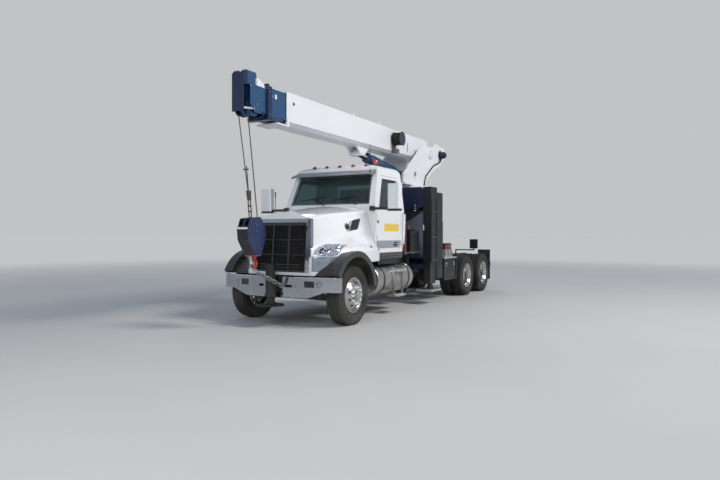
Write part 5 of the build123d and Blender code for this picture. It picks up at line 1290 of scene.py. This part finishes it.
class TRUCK_OT_crane_trim(bpy.types.Operator):
    """Slew bolts, covers, wound rope, seams and marks of the crane"""
    bl_idname = "truck.crane_trim"
    bl_label = "Crane trim"

    def execute(self, context):
        ring_grower("studs").run("slew_bolts", "root", FINISHES["plain_steel"], {
            "Count": 40, "Ring Radius": 0.59, "Part Radius": 0.014, "Part Length": 0.05,
            "Centre": (at(-4.28), 0.0, 2.665), "Axis Turn": (0.0, 0.0, 0.0)})
        self.turret()
        self.boom()
        self.block()
        self.lift()
        self.legs()
        return {"FINISHED"}

    def turret(self):
        """Weld plates, pivot covers, winch motor and pipes of the turret."""
        white, steel, dark, navy, rope = meshes(5)
        winch_x, winch_z = at(WINCH[0]), WINCH[1]
        for way in SIDES.values():
            side, out = FACING[way], Vector((0, way, 0))
            pivot_x, pivot_z = at(BOOM_PIVOT[0]), BOOM_PIVOT[1]
            decal(white, "turret", side, placed(strip((-3.68, 3.0), (-4.35, 3.50), 0.045)), 0.012, 0.016)
            decal(dark, "turret", side, placed(strip((-4.259, 2.907), (-4.259, 3.18), 0.007)), 0.001, 0.003)
            disc(white, -0.01, 0.026, 0.12, (pivot_x, way * TURRET_SIDE, pivot_z), out, 36, 0.115)
            studs(steel, [(pivot_x + 0.09 * cos(a * pi / 4), way * 0.456, pivot_z + 0.09 * sin(a * pi / 4))
                          for a in range(8)], out, 0.011, 0.012)
            disc(steel, -0.004, 0.016, 0.055, (at(LIFT_FOOT[0]), way * TURRET_SIDE, LIFT_FOOT[1]), out, 28,
                 0.052)
        lathe(navy, [(-0.01, 0.0), (-0.01, 0.13), (0.02, 0.13), (0.02, 0.09), (0.13, 0.09), (0.14, 0.07),
                     (0.14, 0.05), (0.17, 0.05), (0.17, 0.0)], (winch_x, TURRET_SIDE, winch_z), "y", 32)
        disc(navy, -0.01, 0.03, 0.11, (winch_x, -TURRET_SIDE, winch_z), Vector((0, -1, 0)), 32, 0.1)
        for offset in (0.0, 0.035):
            pipe(dark, [(at(x) + offset, y, z) for x, y, z in WINCH_PIPE], 0.011, 8)
        piece("turret_covers", white, "turret", "crane_white", 0.002)
        piece("turret_bolts", steel, "turret", "plain_steel")
        piece("turret_pipes", dark, "turret", "black_plastic")
        piece("winch_motor", navy, "turret", "crane_navy")
        lathe(rope, ridges(-0.37, 0.37, 0.172, 0.02, 0.008), (winch_x, 0.0, winch_z), "y", 40)
        piece("wound_rope", rope, "winch_drum", "wire_rope")

    def boom(self):
        """Slots, seams, bolts and marks of the three boom sections, and the cable on its reel."""
        dark, cable, seams, plates, steel, pale, spots, heads, cover = meshes(9)
        for side in FACING.values():
            decal(dark, "boom_base", side, placed(strip((-4.267, 3.60), (-4.267, 3.82), 0.03)), 0.001, 0.003)
            decal(dark, "boom_base", side, oval(at(0.492), 3.854, 0.03, 0.03), 0.001, 0.003)
            decal(seams, "boom_base", side, placed(strip((0.604, 3.56), (0.604, 3.98), 0.012)), 0.003, 0.006)
            decal(seams, "boom_base", side, placed(strip((-5.3, 3.53), (0.59, 3.53), 0.012)), 0.004, 0.008)
            decal(plates, "boom_mid", side, placed(strip((0.967, 3.85), (0.967, 3.92), 0.05)), 0.003, 0.005)
            decal(spots, "boom_mid", side, oval(at(1.049), 3.878, 0.02, 0.02, 12), 0.003, 0.005)
            for x in (0.735, 1.16):
                for z in (3.56, 3.93):
                    bolt(steel, "boom_mid", side, at(x), z, 0.011, 0.012)
            decal(pale, "boom_tip", side, placed(strip((1.5, 3.60), (1.66, 3.60), 0.03)), 0.003, 0.006)
            for x, z in ((1.42, 3.68), (1.6, 3.95), (1.45, 3.98)):
                bolt(heads, "boom_tip", side, at(x), z, 0.014, 0.012)
        outline = placed([(1.203, 3.98), (1.40, 3.98), (1.40, 4.11), (1.36, 4.115), (1.203, 4.03)])
        plate(cover, outline, "y", -0.15, 0.15)
        lathe(cable, ridges(0.264, 0.446, 0.138, 0.022, 0.009), (at(-3.48), 0.0, 3.8), "y", 40)
        piece("tip_cover", cover, "boom_tip", "crane_white", 0.006)
        piece("boom_slots", dark, "boom_base", "black_plastic")
        piece("boom_seams", seams, "boom_base", "crane_white")
        piece("wound_cable", cable, "boom_base", "rubber")
        piece("mid_plates", plates, "boom_mid", "crane_white")
        piece("mid_bolts", steel, "boom_mid", "plain_steel")
        piece("head_bars", pale, "boom_tip", "crane_white")
        piece("head_bolts", heads, "boom_tip", "plain_steel")
        piece("mid_spots", spots, "boom_mid", "plain_steel")

    def block(self):
        """Bolt heads of the hook block in a lighter blue as painted highlights, and a band across its front
        for a tie bar, white as a painted highlight.
        """
        steel, white = meshes(2)
        for way, side in FACING.items():
            # Bolt heads in a lighter blue than the block, as painted highlights on the side plates
            for place, height, radius in ((1.38, 1.74, 0.024), (1.37, 1.63, 0.03), (1.36, 1.51, 0.024)):
                centre = seen("hook_block", side, at(place), height)[0]
                disc(steel, -0.004, 0.012, radius, centre, Vector((0, way, 0)), 20, radius * 0.9)
        # White strip across the front for a tie bar; its white is a painted highlight
        decal(white, "hook_block", "front", [(-0.1, 1.665), (0.1, 1.665), (0.1, 1.695), (-0.1, 1.695)],
              0.003, 0.006)
        piece("block_bolt_highlights", steel, "hook_block", "section_blue")
        piece("block_tie_bar_highlight", white, "hook_block", "crane_white")

    def lift(self):
        """Oil pipes and bands of the lift cylinder."""
        pipes, bands = meshes(2)
        foot = Vector((at(LIFT_FOOT[0]), 0.0, LIFT_FOOT[1]))
        along = (Vector((at(-2.15), 0.0, 3.34)) - foot).normalized()
        rise = Vector((-along.z, 0.0, along.x))
        for way in FACING:
            out = Vector((0, way, 0)) * 0.085 + rise * 0.085
            pipe(pipes, [foot + along * 0.3 + out, foot + along * 1.6 + out,
                         foot + along * 1.63 + out * 0.8], 0.011, 8)
        for place in (0.5, 0.95, 1.4):
            hoop(bands, place, place + 0.03, 0.1, 0.112, foot, along, 32)
        hoop(bands, 1.655, 1.698, 0.075, 0.118, foot, along, 36)
        piece("lift_pipes", pipes, "lift_barrel", "plain_steel")
        piece("lift_bands", bands, "lift_barrel", "crane_navy")

    def legs(self):
        """Bands, bolts and pipe of the outrigger legs."""
        for key, way in SIDES.items():
            side, out = FACING[way], Vector((0, way, 0))
            bands, bolts, pale = meshes(3)
            node = f"outrigger_leg_{key}"
            for z in (0.97, 1.5, 2.08):
                patch(bands, node, side, (at(-3.775), z), (at(-3.425), z + 0.05), 0.008, 0.012, (3, 1))
            for x in (-3.772, -3.448):
                patch(bands, node, side, (at(x), 0.96), (at(x) + 0.02, 2.4), 0.012, 0.016, (1, 4))
            for z in (0.995, 1.525, 2.105):
                for x in (-3.7, -3.6, -3.5):
                    studs(bolts, [seen(node, side, at(x), z)[0] + out * 0.008], out, 0.012, 0.01)
            pipe(pale, [(at(x), way * 1.02, z) for x, z in ((-3.418, 1.68), (-3.404, 1.70), (-3.404, 1.8))],
                 0.012, 10)
            piece(f"leg_bands_{key}", bands, node, "crane_black", 0.002)
            piece(f"leg_bolts_{key}", bolts, node, "plain_steel")
            piece(f"leg_pipe_{key}", pale, node, "crane_white")


OPERATORS = (TRUCK_OT_stage, TRUCK_OT_finishes, TRUCK_OT_tyres, TRUCK_OT_wheel_fittings, TRUCK_OT_hood_trim,
             TRUCK_OT_bumper_trim, TRUCK_OT_cab_trim, TRUCK_OT_door_trim, TRUCK_OT_chassis_trim,
             TRUCK_OT_crane_trim)


class TRUCK_PT_panel(bpy.types.Panel):
    """Buttons for each group of pieces"""
    bl_idname = "TRUCK_PT_panel"
    bl_label = "Boom Truck"
    bl_space_type = "VIEW_3D"
    bl_region_type = "UI"
    bl_category = "Boom Truck"

    def draw(self, context):
        for operator in OPERATORS:
            self.layout.operator(operator.bl_idname, text=operator.bl_label)
        for group in GROUPS:
            settings = getattr(context.scene, group)
            for key in settings.__annotations__:
                self.layout.prop(settings, key)


GROUPS = {"truck_paint": PaintSettings, "truck_tyres": TyreSettings, "truck_stage": StageSettings}


def register():
    for group in GROUPS.values():
        bpy.utils.register_class(group)
    for operator in OPERATORS:
        bpy.utils.register_class(operator)
    bpy.utils.register_class(TRUCK_PT_panel)
    for name, group in GROUPS.items():
        setattr(bpy.types.Scene, name, PointerProperty(type=group))


def unregister():
    for name in GROUPS:
        delattr(bpy.types.Scene, name)
    bpy.utils.unregister_class(TRUCK_PT_panel)
    for operator in reversed(OPERATORS):
        bpy.utils.unregister_class(operator)
    for group in GROUPS.values():
        bpy.utils.unregister_class(group)


def main():
    register()
    for operator in OPERATORS:
        group, action = operator.bl_idname.split(".")
        getattr(getattr(bpy.ops, group), action)()


if __name__ == "__main__":
    main()
